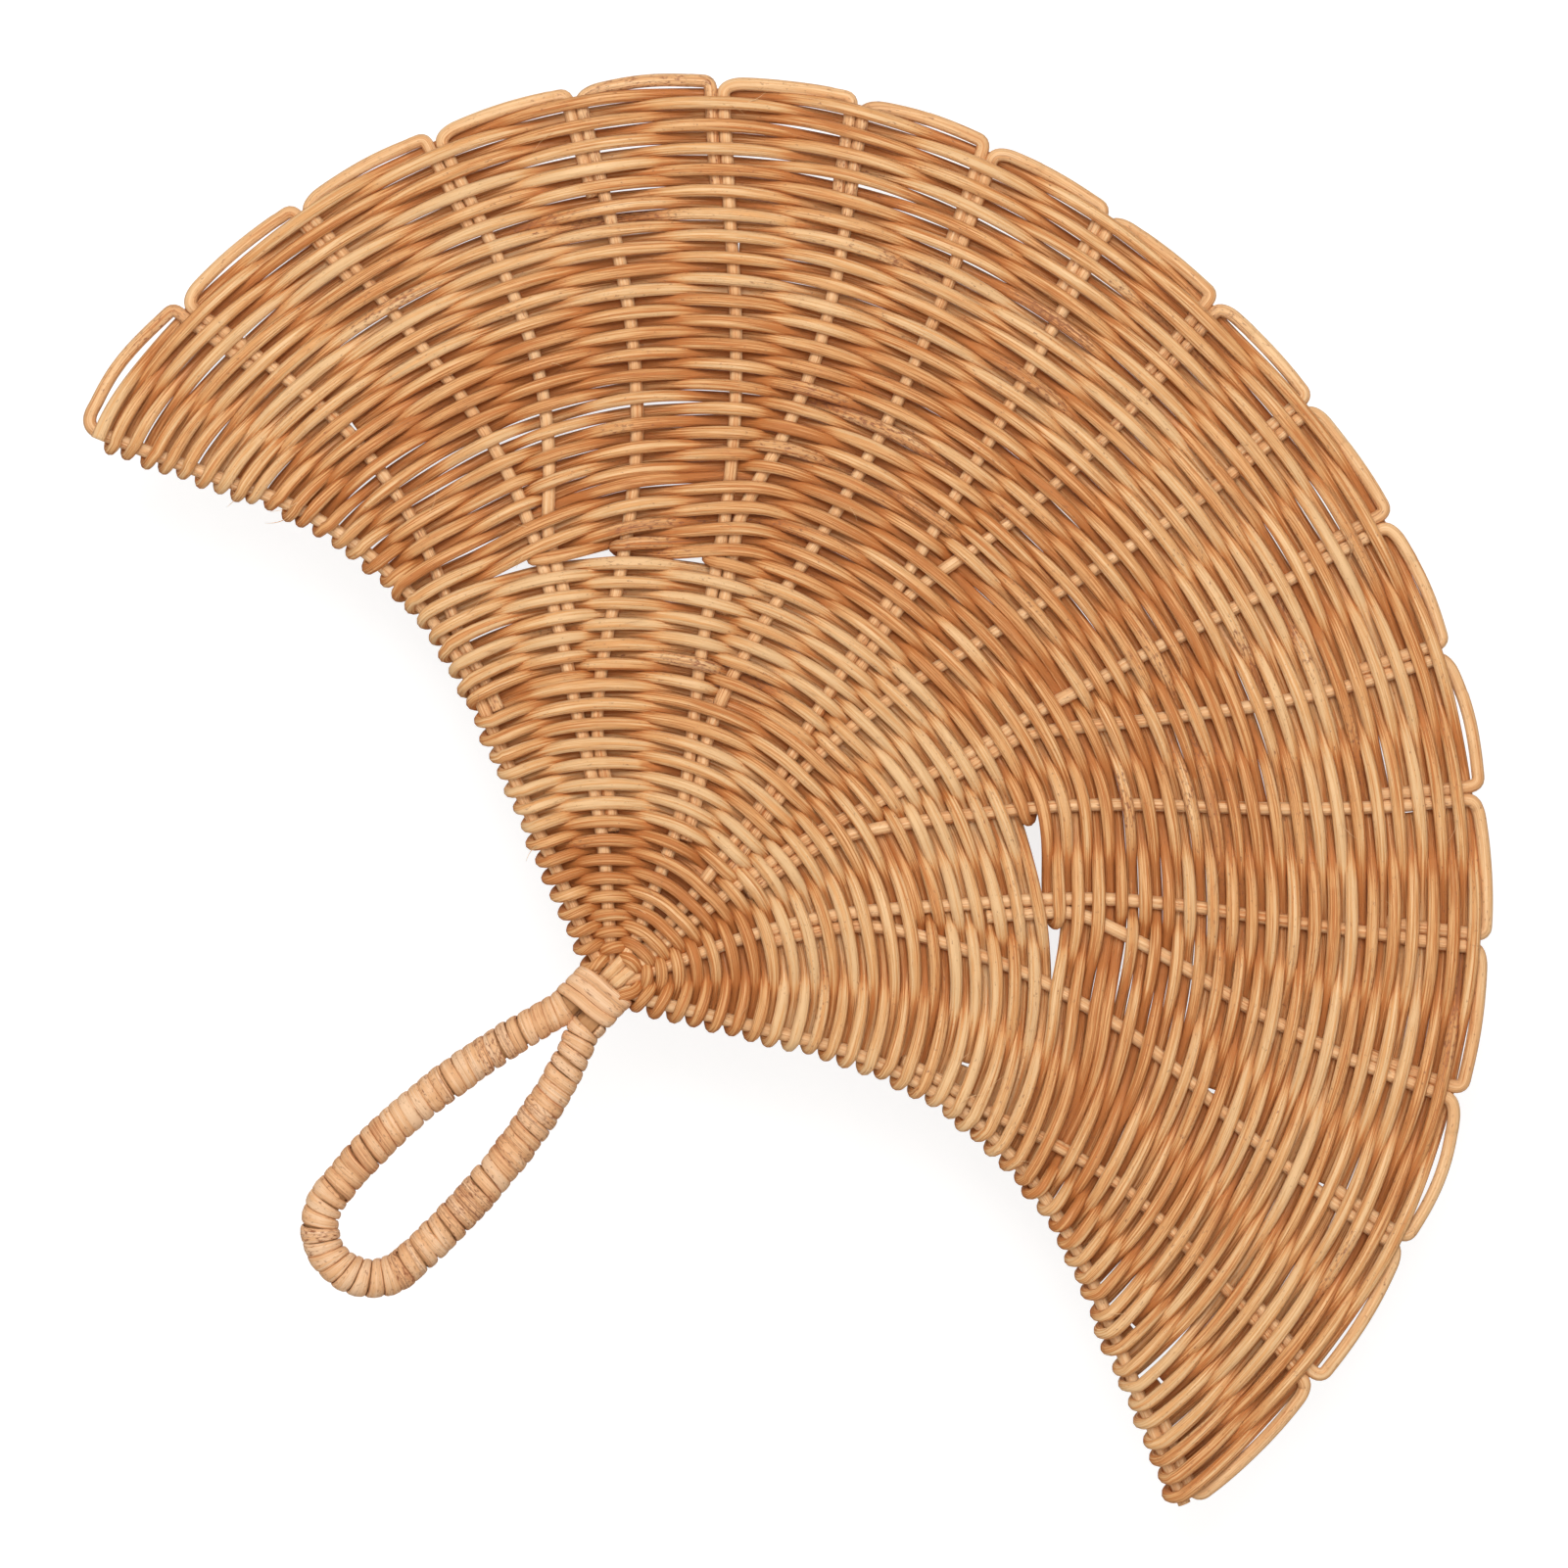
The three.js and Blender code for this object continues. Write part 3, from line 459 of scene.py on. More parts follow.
STAKES = range(1, STAKE_COUNT + 1)
STAKE_CROSSINGS = {k: crossings(stake_across, k) for k in STAKES}
TAIL_CROSSINGS = {k: crossings(tail_across, k) for k in STAKES[:-1]}


def parted(pairs):
    """For each pass, whether the rods of every pair stand far enough apart to be passed one by one."""
    gaps = [np.linalg.norm(STAKE_CROSSINGS[a][2] - STAKE_CROSSINGS[b][2], axis=1) for a, b in pairs]
    return np.min(gaps, axis=0) > CLOSEST_PASS


FIRST_BYES = [k for k in STAKES if k not in EDGE_BYES and k % 3 == 2]
LATE_BYES = [k for k in STAKES if k not in MAIN_STAKES + FIRST_BYES]
MAINS_PARTED = parted(zip(NECK_BUNDLE, NECK_BUNDLE[1:]))
FIRST_PARTED = parted([(k, fork_of(k)[0]) for k in FIRST_BYES])
LATE_PARTED = parted([(k, fork_of(k)[0]) for k in LATE_BYES])


def bundle_of(k, index):
    """The stake whose bundle stake k is passed with. All forks of one kind part in the same pass,
    so that over and under change places in step across the fan."""
    if k in FIRST_BYES and not FIRST_PARTED[index]:
        k = fork_of(k)[0]
    if k in LATE_BYES and not LATE_PARTED[index]:
        k = fork_of(k)[0]
    if k in NECK_BUNDLE and not MAINS_PARTED[index]:
        k = NECK_BUNDLE[0]
    return k


def pass_groups(index):
    """The bundles of rods that a pass crosses, in the order in which it is worked. Each rod is its
    place across, its point, the stake that stands for its bundle and its own stake, 0 for a tail."""
    left, right = SPANS[index]
    rods = []
    for k in STAKES:
        bundle = bundle_of(k, index)
        if not left <= bundle <= right:
            continue
        met = [(STAKE_CROSSINGS[k], stake_start(k), k)]
        if k > left:
            met.append((TAIL_CROSSINGS[k - 1], TAIL_START, 0))
        for columns, start, stake in met:
            across, reach, point = (column[index] for column in columns)
            if reach > start - ROD_RADIUS:
                rods.append((across, point, bundle, stake))
    rods.sort(key=lambda rod: rod[0])
    if index % 2 == 0:
        rods.reverse()
    return [list(group) for _, group in itertools.groupby(rods, key=lambda rod: rod[2])]


PASS_GROUPS = [pass_groups(index) for index in range(len(SPANS))]


def crest_of(group):
    """Height of a pass over a bundle: less where the stakes give way a little, full at the edges."""
    at_edge = any(rod[3] in (1, STAKE_COUNT) for rod in group)
    return CREST if at_edge else CREST - STAKE_PUSH


def pass_path(index, side):
    """Points of one pass, how full the rod is there, and the side of the last crest. Between bundles
    the height goes from one crest to the other by the cosine of the way, with broader shoulders by
    a share of its cube, and the fullness is that cosine squared."""
    groups = PASS_GROUPS[index]
    across, height, fullness = [[groups[0][0][0]]], [[side * crest_of(groups[0])]], [[1.0]]
    for group, ahead in zip(groups, groups[1:] + [[]]):
        for a, b in zip(group, group[1:] + ahead[:1]):
            count = max(int(np.linalg.norm(b[1] - a[1]) / ROD_STEP), 4)
            share = np.arange(1, count + 1) / count
            across.append(a[0] + (b[0] - a[0]) * share)
            if a[2] == b[2]:
                height.append(np.full(count, side * crest_of(group)))
                fullness.append(np.ones(count))
            else:
                way = np.cos(math.pi * share)
                crest = crest_of(group) + (crest_of(ahead) - crest_of(group)) * share
                height.append(side * crest * way * (1.0 + CREST_SHOULDER - CREST_SHOULDER * way ** 2))
                fullness.append(way ** 2)
                side = -side
    across, height = np.concatenate(across), np.concatenate(height)
    return upright(fan_point(across, pass_out(index, across)), height), np.concatenate(fullness), side


def stake_sides():
    """For each stake, how far out each pass meets it, with -1 for in front of it and 1 for behind."""
    met = {k: [] for k in range(STAKE_COUNT + 1)}
    side = -1
    for groups in PASS_GROUPS:
        for group in groups:
            for rod in group:
                met[rod[3]].append((np.linalg.norm(rod[1]), side))
            side = -side
    return {k: np.array(places) for k, places in met.items()}


def turn_path(start, end, side, outward):
    """Ten points of half a turn round a stake: out by the sine and through by the cosine of the
    turning angle."""
    angle = np.linspace(0.0, math.pi, 12)[1:-1]
    ease = smoothstep(angle, 0.0, math.pi)[:, None]
    points = start * (1.0 - ease) + end * ease + outward * (CREST * np.sin(angle))[:, None]
    points[:, 1] = side * CREST * np.cos(angle)
    return points


LOOP_SLACK = draws(41, -1.0, 1.0, len(SPANS))


def worked_path():
    """The path of the weavers through all passes, worked one after another without a break, with
    the pass number and the rod's fullness at each point. It is drawn thinnest in the loops."""
    line, fullness, side = pass_path(0, -1)
    points, numbers, full = [line], [np.zeros(len(line))], [fullness]
    for index in range(1, len(SPANS)):
        following, fullness, last_side = pass_path(index, -side)
        start, end = line[-1] * IN_PLANE, following[0] * IN_PLANE
        rod_way = unit(end - start)
        heading = away(line[-1] - line[-4])
        outward = unit(heading - rod_way * heading.dot(rod_way))
        loop = turn_path(start, end, side, outward * (LOOP_REACH + LOOP_PLAY * LOOP_SLACK[index]))
        line, side = following, last_side
        points += [loop, line]
        numbers += [np.full(len(loop), index - 0.5), np.full(len(line), float(index))]
        full += [np.full(len(loop), LOOP_FULLNESS), fullness]
    path, number, fullness = np.vstack(points), np.concatenate(numbers), np.concatenate(full)
    stubs = [path[end] + away(path[end] - path[inner]) * LOOSE_END for end, inner in ((0, 3), (-1, -4))]
    number, fullness = np.pad(number, 1, mode="edge"), np.pad(fullness, 1, mode="edge")
    return np.vstack([stubs[0], path, stubs[1]]), number, softened(fullness, 6)


def uneven(path, number, seed):
    """Hand-worked unevenness: rows drift along the way out, together over a few rows and each by
    itself, most of all near the lower edges, and rods stand a little proud or low."""
    reach = np.hypot(path[:, 0], path[:, 2])
    bearing = np.arctan2(path[:, 0], path[:, 2])

    def sway(size, wave, start, rows, step):
        return size * drift(bearing * reach / wave + start, rows, seed + step)

    shared = sway(0.40, 46.0, 90.0, number / 3.1, 0)
    own = sway(0.26, 21.0, 60.0, number * 7.3, 1)
    at_edge = smoothstep(np.abs(bearing), 0.98, 1.35) * smoothstep(reach, 50.0, 90.0)
    loose = sway(0.85, 35.0, 30.0, number / 1.7, 3) * at_edge
    inner = 0.3 + 0.7 * smoothstep(reach, 20.0, 70.0)
    moved = path + away(path) * ((shared + own + loose) * inner)[:, None]
    moved[:, 1] += sway(0.12, 15.0, 40.0, number * 5.7, 2)
    return moved


# Meshes

def tube(path, reference, radius, sides):
    """Rings of a round rod. Each ring is radius times (cos a, sin a) in the plane across the path,
    whose first axis is the reference direction with its part along the path taken off."""
    along = unit(np.gradient(path, axis=0))
    first = unit(reference - along * np.sum(reference * along, axis=1, keepdims=True))
    second = np.cross(along, first)
    angle = np.arange(sides) * 2.0 * math.pi / sides
    circle = first[:, None] * np.cos(angle)[:, None] + second[:, None] * np.sin(angle)[:, None]
    return path[:, None] + circle * radius[:, None, None], angle


def skin_faces(rings, sides):
    """Quads between each ring and the next, wound so that they face outwards, and two end caps."""
    ring, side = np.meshgrid(np.arange(rings - 1), np.arange(sides), indexing="ij")
    a = ring * sides + side
    b = ring * sides + (side + 1) % sides
    quads = np.stack([a, b, b + sides, a + sides], axis=-1).reshape(-1, 4)
    last = (rings - 1) * sides
    return quads.tolist() + [list(range(sides))[::-1], list(range(last, last + sides))]


def linked(name, data):
    """An object in the scene that shows some data."""
    item = bpy.data.objects.new(name, data)
    bpy.context.scene.collection.objects.link(item)
    return item


def make_piece(name, parts, material, slot, *nodes):
    """One object from skinned parts, in metres about the nail. Each part is its rings and what its
    material reads: tone, with painted shade in it on the weavers, the place round and along the rod,
    and how much bark is left."""
    points, faces, tones, fibres, barks = [], [], [], [], []
    for rings, tone, fibre, bark in parts:
        offset = sum(len(block) for block in points)
        count, sides = rings.shape[:2]
        points.append((rings.reshape(-1, 3) - [0.0, 0.0, NAIL_HEIGHT]) * MM)
        faces += [[corner + offset for corner in face] for face in skin_faces(count, sides)]
        tones.append(np.broadcast_to(np.reshape(tone, (count, -1)), (count, sides)).ravel())
        fibres.append(fibre.reshape(-1, 3))
        barks.append(np.repeat(bark, sides))
    mesh = bpy.data.meshes.new(name)
    mesh.from_pydata(np.vstack(points), [], faces)
    mesh.polygons.foreach_set("use_smooth", np.ones(len(mesh.polygons), bool))
    for label, values in (("tone", tones), ("bark", barks)):
        mesh.attributes.new(label, "FLOAT", "POINT").data.foreach_set("value", np.concatenate(values))
    fibre = mesh.attributes.new("fibre", "FLOAT_VECTOR", "POINT")
    fibre.data.foreach_set("vector", np.vstack(fibres).ravel())
    mesh.materials.append(material)
    mesh.update()
    piece = linked(name, mesh)
    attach(piece, "root")
    if nodes:
        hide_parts(*nodes)


def fibre_places(across, out, along):
    """The three coordinates of the fibre, joined for every point of a skin."""
    return np.stack(np.broadcast_arrays(across, out, along[:, None]), axis=-1)


def rod_part(path, reference, radius, sides, tone, bark, start, deep=0.0):
    """A rod's rings with its material values. The fibre coordinate runs round and along the rod in
    millimetres, so that streaks follow it without a seam. Deep adds painted shade: the tone turns
    browner towards the mid plane, where the rod lies deep between its neighbours."""
    rings, angle = tube(path, reference, radius, sides)
    # Painted shade: the tone is browned, by deep at most, where the surface lies near the weave's mid
    # plane, between the neighbouring rods.
    tone = tone[:, None] + deep * (1.0 - smoothstep(np.abs(rings[..., 1]), 0.2, 2.5))
    round_it = ROD_RADIUS * np.cos(angle), ROD_RADIUS * np.sin(angle)
    return rings, tone, fibre_places(*round_it, start + running_length(path)), bark


# Shader groups

def new_group(name, inputs, outputs):
    """A node group with named float inputs, each with its usual value, and named float outputs, and
    its two end nodes."""
    group = bpy.data.node_groups.new(name, "ShaderNodeTree")
    for label, value in inputs.items():
        socket = group.interface.new_socket(label, in_out="INPUT", socket_type="NodeSocketFloat")
        socket.default_value = value
    for label in outputs:
        group.interface.new_socket(label, in_out="OUTPUT", socket_type="NodeSocketFloat")
    return group, group.nodes.new("NodeGroupInput"), group.nodes.new("NodeGroupOutput")


def math_node(tree, operation, first, second, clamp=False):
    """One math node. Each operand is a number or a socket."""
    node = tree.nodes.new("ShaderNodeMath")
    node.operation = operation
    node.use_clamp = clamp
    for socket, value in zip(node.inputs, (first, second)):
        if isinstance(value, (int, float)):
            socket.default_value = value
        else:
            tree.links.new(value, socket)
    return node.outputs[0]


def attribute(tree, name, output):
    """One output of the attribute that a mesh carries under that name."""
    node = tree.nodes.new("ShaderNodeAttribute")
    node.attribute_name = name
    return node.outputs[output]


def stretched_noise(tree, scale, detail, roughness=0.55):
    """Noise read at the fibre coordinate, drawn out along the rod by a small last scale."""
    mapping = tree.nodes.new("ShaderNodeVectorMath")
    mapping.operation = "MULTIPLY"
    tree.links.new(attribute(tree, "fibre", "Vector"), mapping.inputs[0])
    mapping.inputs[1].default_value = scale
    noise = tree.nodes.new("ShaderNodeTexNoise")
    noise.inputs["Scale"].default_value = 1.0
    noise.inputs["Detail"].default_value = detail
    noise.inputs["Roughness"].default_value = roughness
    tree.links.new(mapping.outputs[0], noise.inputs["Vector"])
    return noise.outputs["Fac"]


def contrasted(tree, value, gain):
    """A value stretched about one half and clamped from 0 to 1."""
    stretched = math_node(tree, "MULTIPLY", math_node(tree, "SUBTRACT", value, 0.5), gain)
    return math_node(tree, "ADD", stretched, 0.5, clamp=True)


FINE_SHARE = 0.65
PATCH_SHIFT = 0.8
RELIEF_HEIGHT = 0.2 * MM
ROUGHER_GRAIN = 0.25


def grain_group():
    """Fibre streaks of peeled rattan: fine and broad noise drawn out along the rod."""
    group, start, end = new_group("rattan_grain", {"Streak": 1.0}, ["Grain", "Height"])
    fine = contrasted(group, stretched_noise(group, (2.2, 2.2, 0.045), 3.0, 0.65), 5.0)
    broad = contrasted(group, stretched_noise(group, (0.7, 0.7, 0.03), 2.0), 3.0)
    fine_part = math_node(group, "MULTIPLY", fine, FINE_SHARE)
    broad_part = math_node(group, "MULTIPLY", broad, 1.0 - FINE_SHARE)
    centred = math_node(group, "SUBTRACT", math_node(group, "ADD", fine_part, broad_part), 0.5)
    grain = math_node(group, "MULTIPLY", centred, start.outputs["Streak"])
    group.links.new(grain, end.inputs["Grain"])
    group.links.new(fine, end.inputs["Height"])
    return group


def speck_group():
    """Red-brown scratches and specks where bark is left: long thin noise and a shorter one, both cut
    off high, and more of them where the rod carries a larger bark value."""
    group, start, end = new_group("bark_specks", {"Bark": 0.0}, ["Specks"])
    bark = math_node(group, "MULTIPLY", start.outputs["Bark"], 0.15)
    cuts = []
    for scale, limit, gain in (((2.0, 2.0, 0.04), 0.65, 5.0), ((1.5, 1.5, 0.7), 0.635, 6.0)):
        level = math_node(group, "ADD", stretched_noise(group, scale, 3.0, 0.6), bark)
        above = math_node(group, "SUBTRACT", level, limit)
        cuts.append(math_node(group, "MULTIPLY", above, gain, clamp=True))
    group.links.new(math_node(group, "MAXIMUM", cuts[0], cuts[1]), end.inputs["Specks"])
    return group


def patch_group():
    """Slow patches of colour along a rod, a hand or so long."""
    group, _, end = new_group("colour_patches", {}, ["Patch"])
    patch = stretched_noise(group, (0.12, 0.12, 0.022), 2.0)
    group.links.new(math_node(group, "SUBTRACT", patch, 0.5), end.inputs["Patch"])
    return group


GRAIN, SPECKS, PATCHES = grain_group(), speck_group(), patch_group()


def new_material(name):
    """An empty material with nodes, and its tree."""
    material = bpy.data.materials.new(name)
    material.use_nodes = True
    return material, material.node_tree


def rattan_material(name, pale, straw, brown, streak, bump, roughness):
    """Peeled rattan: tone carried by the rod chooses between pale, straw and brown, grain and
    patches shift it, specks darken it, and the grain lifts the surface a little. On the weavers that
    tone also holds painted shade, browner deep in the weave."""
    material, tree = new_material(name)
    shader = tree.nodes["Principled BSDF"]
    grain, patches, specks = (tree.nodes.new("ShaderNodeGroup") for _ in range(3))
    grain.node_tree, patches.node_tree, specks.node_tree = GRAIN, PATCHES, SPECKS
    grain.inputs["Streak"].default_value = streak
    tree.links.new(attribute(tree, "bark", "Fac"), specks.inputs["Bark"])
    tone = math_node(tree, "ADD", attribute(tree, "tone", "Fac"), grain.outputs["Grain"])
    patched = math_node(tree, "MULTIPLY", patches.outputs["Patch"], PATCH_SHIFT)
    tone = math_node(tree, "ADD", tone, patched, clamp=True)
    ramp = tree.nodes.new("ShaderNodeValToRGB")
    ramp.color_ramp.interpolation = "EASE"
    ramp.color_ramp.elements[0].color = (*pale, 1.0)
    ramp.color_ramp.elements[1].color = (*brown, 1.0)
    ramp.color_ramp.elements.new(0.45).color = (*straw, 1.0)
    tree.links.new(tone, ramp.inputs["Fac"])
    mix = tree.nodes.new("ShaderNodeMix")
    mix.data_type = "RGBA"
    tree.links.new(specks.outputs["Specks"], mix.inputs["Factor"])
    plain, speckled = [socket for socket in mix.inputs if socket.type == "RGBA"]
    tree.links.new(ramp.outputs["Color"], plain)
    speckled.default_value = (*SPECK_COLOUR, 1.0)
    mixed, = [socket for socket in mix.outputs if socket.type == "RGBA"]
    tree.links.new(mixed, shader.inputs["Base Color"])
    rougher = math_node(tree, "MULTIPLY", grain.outputs["Height"], ROUGHER_GRAIN)
    tree.links.new(math_node(tree, "ADD", rougher, roughness), shader.inputs["Roughness"])
    relief = tree.nodes.new("ShaderNodeBump")
    relief.inputs["Strength"].default_value = bump
    relief.inputs["Distance"].default_value = RELIEF_HEIGHT
    tree.links.new(grain.outputs["Height"], relief.inputs["Height"])
    tree.links.new(relief.outputs["Normal"], shader.inputs["Normal"])
    return material


SPECK_COLOUR = (0.33, 0.115, 0.045)
PALE = (0.80, 0.515, 0.262)
STRAW = (0.73, 0.375, 0.143)
BROWN = (0.52, 0.18, 0.043)

weaver_finish = rattan_material(
    "peeled_weaver_rod", PALE, STRAW, BROWN, streak=1.2, bump=0.7, roughness=0.46)
stake_finish = rattan_material(
    "peeled_stake_rod", (0.83, 0.54, 0.285), (0.76, 0.43, 0.195), BROWN,
    streak=0.9, bump=0.5, roughness=0.47)
cane_finish = rattan_material(
    "flat_binding_cane", (0.86, 0.57, 0.35), (0.79, 0.445, 0.22), (0.50, 0.19, 0.07),
    streak=0.6, bump=0.6, roughness=0.5)
core_finish = rattan_material(
    "handle_core_rod", (0.50, 0.25, 0.10), (0.38, 0.16, 0.055), (0.22, 0.07, 0.02),
    streak=0.5, bump=0.4, roughness=0.6)


# Weavers

def band_tone(number):
    """How brown the rods are at a pass: orange at the first passes with a few dark ones after them,
    pale up to the filling ones, brown past them and mixed towards the rim."""
    first = 0.60 * (1.0 - smoothstep(number, 13.0, 18.0))
    far = smoothstep(number, 60.0, 72.0)
    middle = 0.41 * smoothstep(number, INNER_ROWS - 1.0, INNER_ROWS + 0.5) * (1.0 - far)
    dark = 0.22 * smoothstep(number, 8.5, 10.5) * (1.0 - smoothstep(number, 14.0, 16.0))
    return 0.20 + first + middle + 0.07 * far + dark


def rod_tones(along, number, seed):
    """Tone along a weaver: its band, a step at each joined length, and a slow drift along it."""
    joined = np.searchsorted(np.cumsum(draws(seed, 160.0, 800.0, 500)), along)
    tone = band_tone(number) + draws(seed + 1, -0.26, 0.26, 501)[joined]
    tone = tone + 0.18 * wander(along, 80.0, seed + 2) + 0.10 * wander(along, 23.0, seed + 3)
    barked = draws(seed + 4, 0.0, 1.0, 501)[joined]
    bark = 0.25 * (barked > 0.6) + 0.9 * smoothstep(wander(along, 70.0, seed + 5), 0.8, 0.97)
    return np.clip(tone, 0.02, 0.98), bark


def cut_places(path, along, count):
    """Where the long run is cut into count weavers of one length, moved on to the next back crest."""
    behind = path[:, 1] > 0.8 * CREST
    places = [np.argmax(behind & (along > along[-1] * i / count)) + 1 for i in range(1, count)]
    return [0] + places + [len(path)]


record_slots = {entry["node"]: entry["material_slot"] for entry in frame["record"]["subparts"]}
weaver_nodes = sorted(name for name in frame["nodes"] if name.startswith("weaver_"))
path, *columns = worked_path()
path, number, fullness = respaced(path, ROD_STEP, *columns)
path = uneven(softened(path, 2), number, 11)
along = running_length(path)
tone, bark = rod_tones(along, number, 21)
radius = ROD_RADIUS * (1.0 - SQUEEZE * (1.0 - fullness))
radius = radius * (1.0 + 0.06 * wander(along, 110.0, 31) + 0.03 * wander(along, 14.0, 32))
places = cut_places(path, along, len(weaver_nodes))
for node, first, last in zip(weaver_nodes, places, places[1:]):
    line, thick, tones, barks = (column[first:last] for column in (path, radius, tone, bark))
    # deep=0.5 paints shade into the weavers' tone: browner towards the weave's mid plane, between the
    # rods.
    part = rod_part(line, away(line), thick, ROD_SIDES, tones, barks, along[first], deep=0.5)
    make_piece(node + "_rod", [part], weaver_finish, record_slots[node], node)


# Stakes and scalloped border

MET_SIDES = stake_sides()


def rim_point(angle, inset):
    """A place of the swollen rim, inset from it, as x and z."""
    radius = RIM_RADIUS + swell(angle) - inset
    return np.array([radius * math.sin(angle), RIM_CENTRE_HEIGHT + radius * math.cos(angle)])


def rim_angle(point):
    """Bearing of a place seen from the rim's centre."""
    return math.atan2(point[0], point[1] - RIM_CENTRE_HEIGHT)


def root_line(k):
    """Cubic Bezier from the stake's place in the neck, in one of two layers, to its first row."""
    i = MAIN_STAKES.index(k)
    depth = (-1 if i % 2 == 0 else 1) * SIDE_BY_SIDE / 2
    top = np.array([NECK_SHIFT + (i - len(MAIN_STAKES) // 2) * SIDE_BY_SIDE / 2, depth, NECK_TOP])
    outs = np.array([ROOT_OUT, ROOT_OUT + 0.02])
    first, ahead = upright(fan_point(stake_across(k, outs), outs))
    pull = np.linalg.norm(first - top) * ROOT_PULL
    curve = bezier([top, top + [0, 0, pull], first - unit(ahead - first) * pull, first], 14)
    return np.vstack([top - [0, 0, ROOT_FOOT], curve[:-1]])


def scallop_line(k):
    """The end of stake k beyond the last row: a bend to the right, an arc that rises a little and
    bulges by the sine of its way, a tight fold at the next stake and a tail down its left side."""
    tips = {1: FIRST_TIP_INSET, STAKE_COUNT: TIP_INSET}
    start, end = fan_point(stake_across(k, 1.0), 1.0), fan_point(tail_across(k, 1.0), 1.0)
    tip = EDGE_LINES[-1][0][-1] * [-1.0, 1.0]
    left, right = rim_angle(tip if k == 1 else start), rim_angle(end)
    insets = SCALLOP_INSET + tips.get(k, 0.0) + SCALLOP_STEP, SCALLOP_INSET + tips.get(k + 1, 0.0)
    entry_length = FIRST_ENTRY_FACTOR * SCALLOP_ENTRY if k == 1 else SCALLOP_ENTRY
    arc = []
    for t in np.linspace(entry_length / ((right - left) * RIM_RADIUS), SCALLOP_END, 14):
        inset = insets[0] + (insets[1] - insets[0]) * t - SCALLOP_LIFTS[k - 1] * math.sin(math.pi * t)
        arc.append(rim_point(left + (right - left) * t, inset))
    corner = tip + unit(tip - start) if k == 1 else rim_point(left, insets[0] + 0.5)
    entry = bezier([start, corner, arc[0]], 8)
    folded = rim_point(right, insets[1] - 0.6), rim_point(right, insets[1] + SCALLOP_FOLD)
    tail_outs = np.linspace(0.995, out_of(TAIL_START), 12)
    tail = fan_point(tail_across(k, tail_outs), tail_outs)
    return upright(np.vstack([entry[:-1], arc[:-1], bezier([arc[-1], *folded], 6), tail]))


def stake_line(k):
    """The whole of stake k, from the neck or from beside its main, to the end of its tail."""
    outs = np.linspace(ROOT_OUT if k in MAIN_STAKES else out_of(stake_start(k)), 1.0, 90)
    body = upright(fan_point(stake_across(k, outs), outs))
    root = [root_line(k)] if k in MAIN_STAKES else []
    last = body[-1] + unit(body[-1] - body[-2]) * LAST_STAKE_END
    return np.vstack(root + [body, scallop_line(k)[1:] if k < STAKE_COUNT else last])


def stake_piece(k):
    """One stake's object: round rod, a little wavy where the rows pull on it, paler than the weavers."""
    line = softened(*respaced(stake_line(k), STAKE_STEP), 2)
    along = running_length(line)
    if 1 < k < STAKE_COUNT:
        reach = np.hypot(line[:, 0], line[:, 2])
        places, sides = MET_SIDES[k][:, 0], MET_SIDES[k][:, 1]
        woven = smoothstep(reach, places[0] - 4.0, places[0]) * (along < along[np.argmax(reach)] - 3.0)
        line[:, 1] -= STAKE_PUSH * np.interp(reach, places, sides) * woven
    side_way = unit(np.cross(np.gradient(line, axis=0), DEPTH_WAY))
    line += side_way * (0.22 * wander(along, 17.0, 400 + k))[:, None]
    tone = 0.36 + 0.18 * wander(along, 85.0, 500 + k) + 0.06 * wander(along, 21.0, 520 + k)
    bark = 0.2 + 0.6 * smoothstep(wander(along, 60.0, 540 + k), 0.6, 0.95)
    radius = STAKE_RADIUS * (1.0 + 0.03 * wander(along, 50.0, 560 + k))
    part = rod_part(line, DEPTH_WAY, radius, STAKE_SIDES, np.clip(tone, 0.0, 1.0), bark, 977.0 * k)
    node = "stake_%02d" % k
    make_piece(node + "_rod", [part], stake_finish, "stake", node)


for k in STAKES:
    stake_piece(k)


# Loose fibres

FIBRE_RADIUS = 0.17
HALF_DEPTH = 5.05


def loose_fibres(count, seed):
    """Hair-thin splinters that stand off the rods: each leaves a rod nearly along it and curls away by
    the square of its own length, thinning to its end."""
    rng = np.random.default_rng(seed)
    t = np.linspace(0.0, 1.0, 9)[:, None]
    thin = FIBRE_RADIUS * (1.0 - 0.8 * t[:, 0])
    parts = []
    for at in rng.choice(np.nonzero(path[:, 1] < -2.4)[0][9:-9], count):
        ahead = unit(path[at + 3] - path[at - 3])
        beside_way = unit(np.cross(ahead, -DEPTH_WAY)) * rng.choice([-1.0, 1.0])
        length = rng.uniform(4.0, 11.0)
        curl = rng.uniform(0.1, 0.6)
        line = path[at] - DEPTH_WAY * ROD_RADIUS * 0.7 + length * (
            ahead * t * (1.0 - 0.3 * curl * t) + beside_way * curl * t ** 2 - DEPTH_WAY * 0.06 * t)
        line[:, 1] = np.clip(line[:, 1], -HALF_DEPTH, HALF_DEPTH)
        tone = np.full(len(t), rng.uniform(0.0, 0.5))
        parts.append(rod_part(line, beside_way, thin, 5, tone, np.zeros(len(t)), 31.0 * at))
    return parts


make_piece("loose_fibres", loose_fibres(60, 71), stake_finish, record_slots["weaver_01"])


# Handle

LEG_GAP = HANDLE_TOP_DIAMETER / 2 + 0.3
NECK_FOOT = NECK_TOP - (NECK_TURNS * (CANE_WIDTH + CANE_GAP) + CANE_WIDTH)
BEND_CENTRE = -HANDLE_DROP + HANDLE_BEND_RADIUS


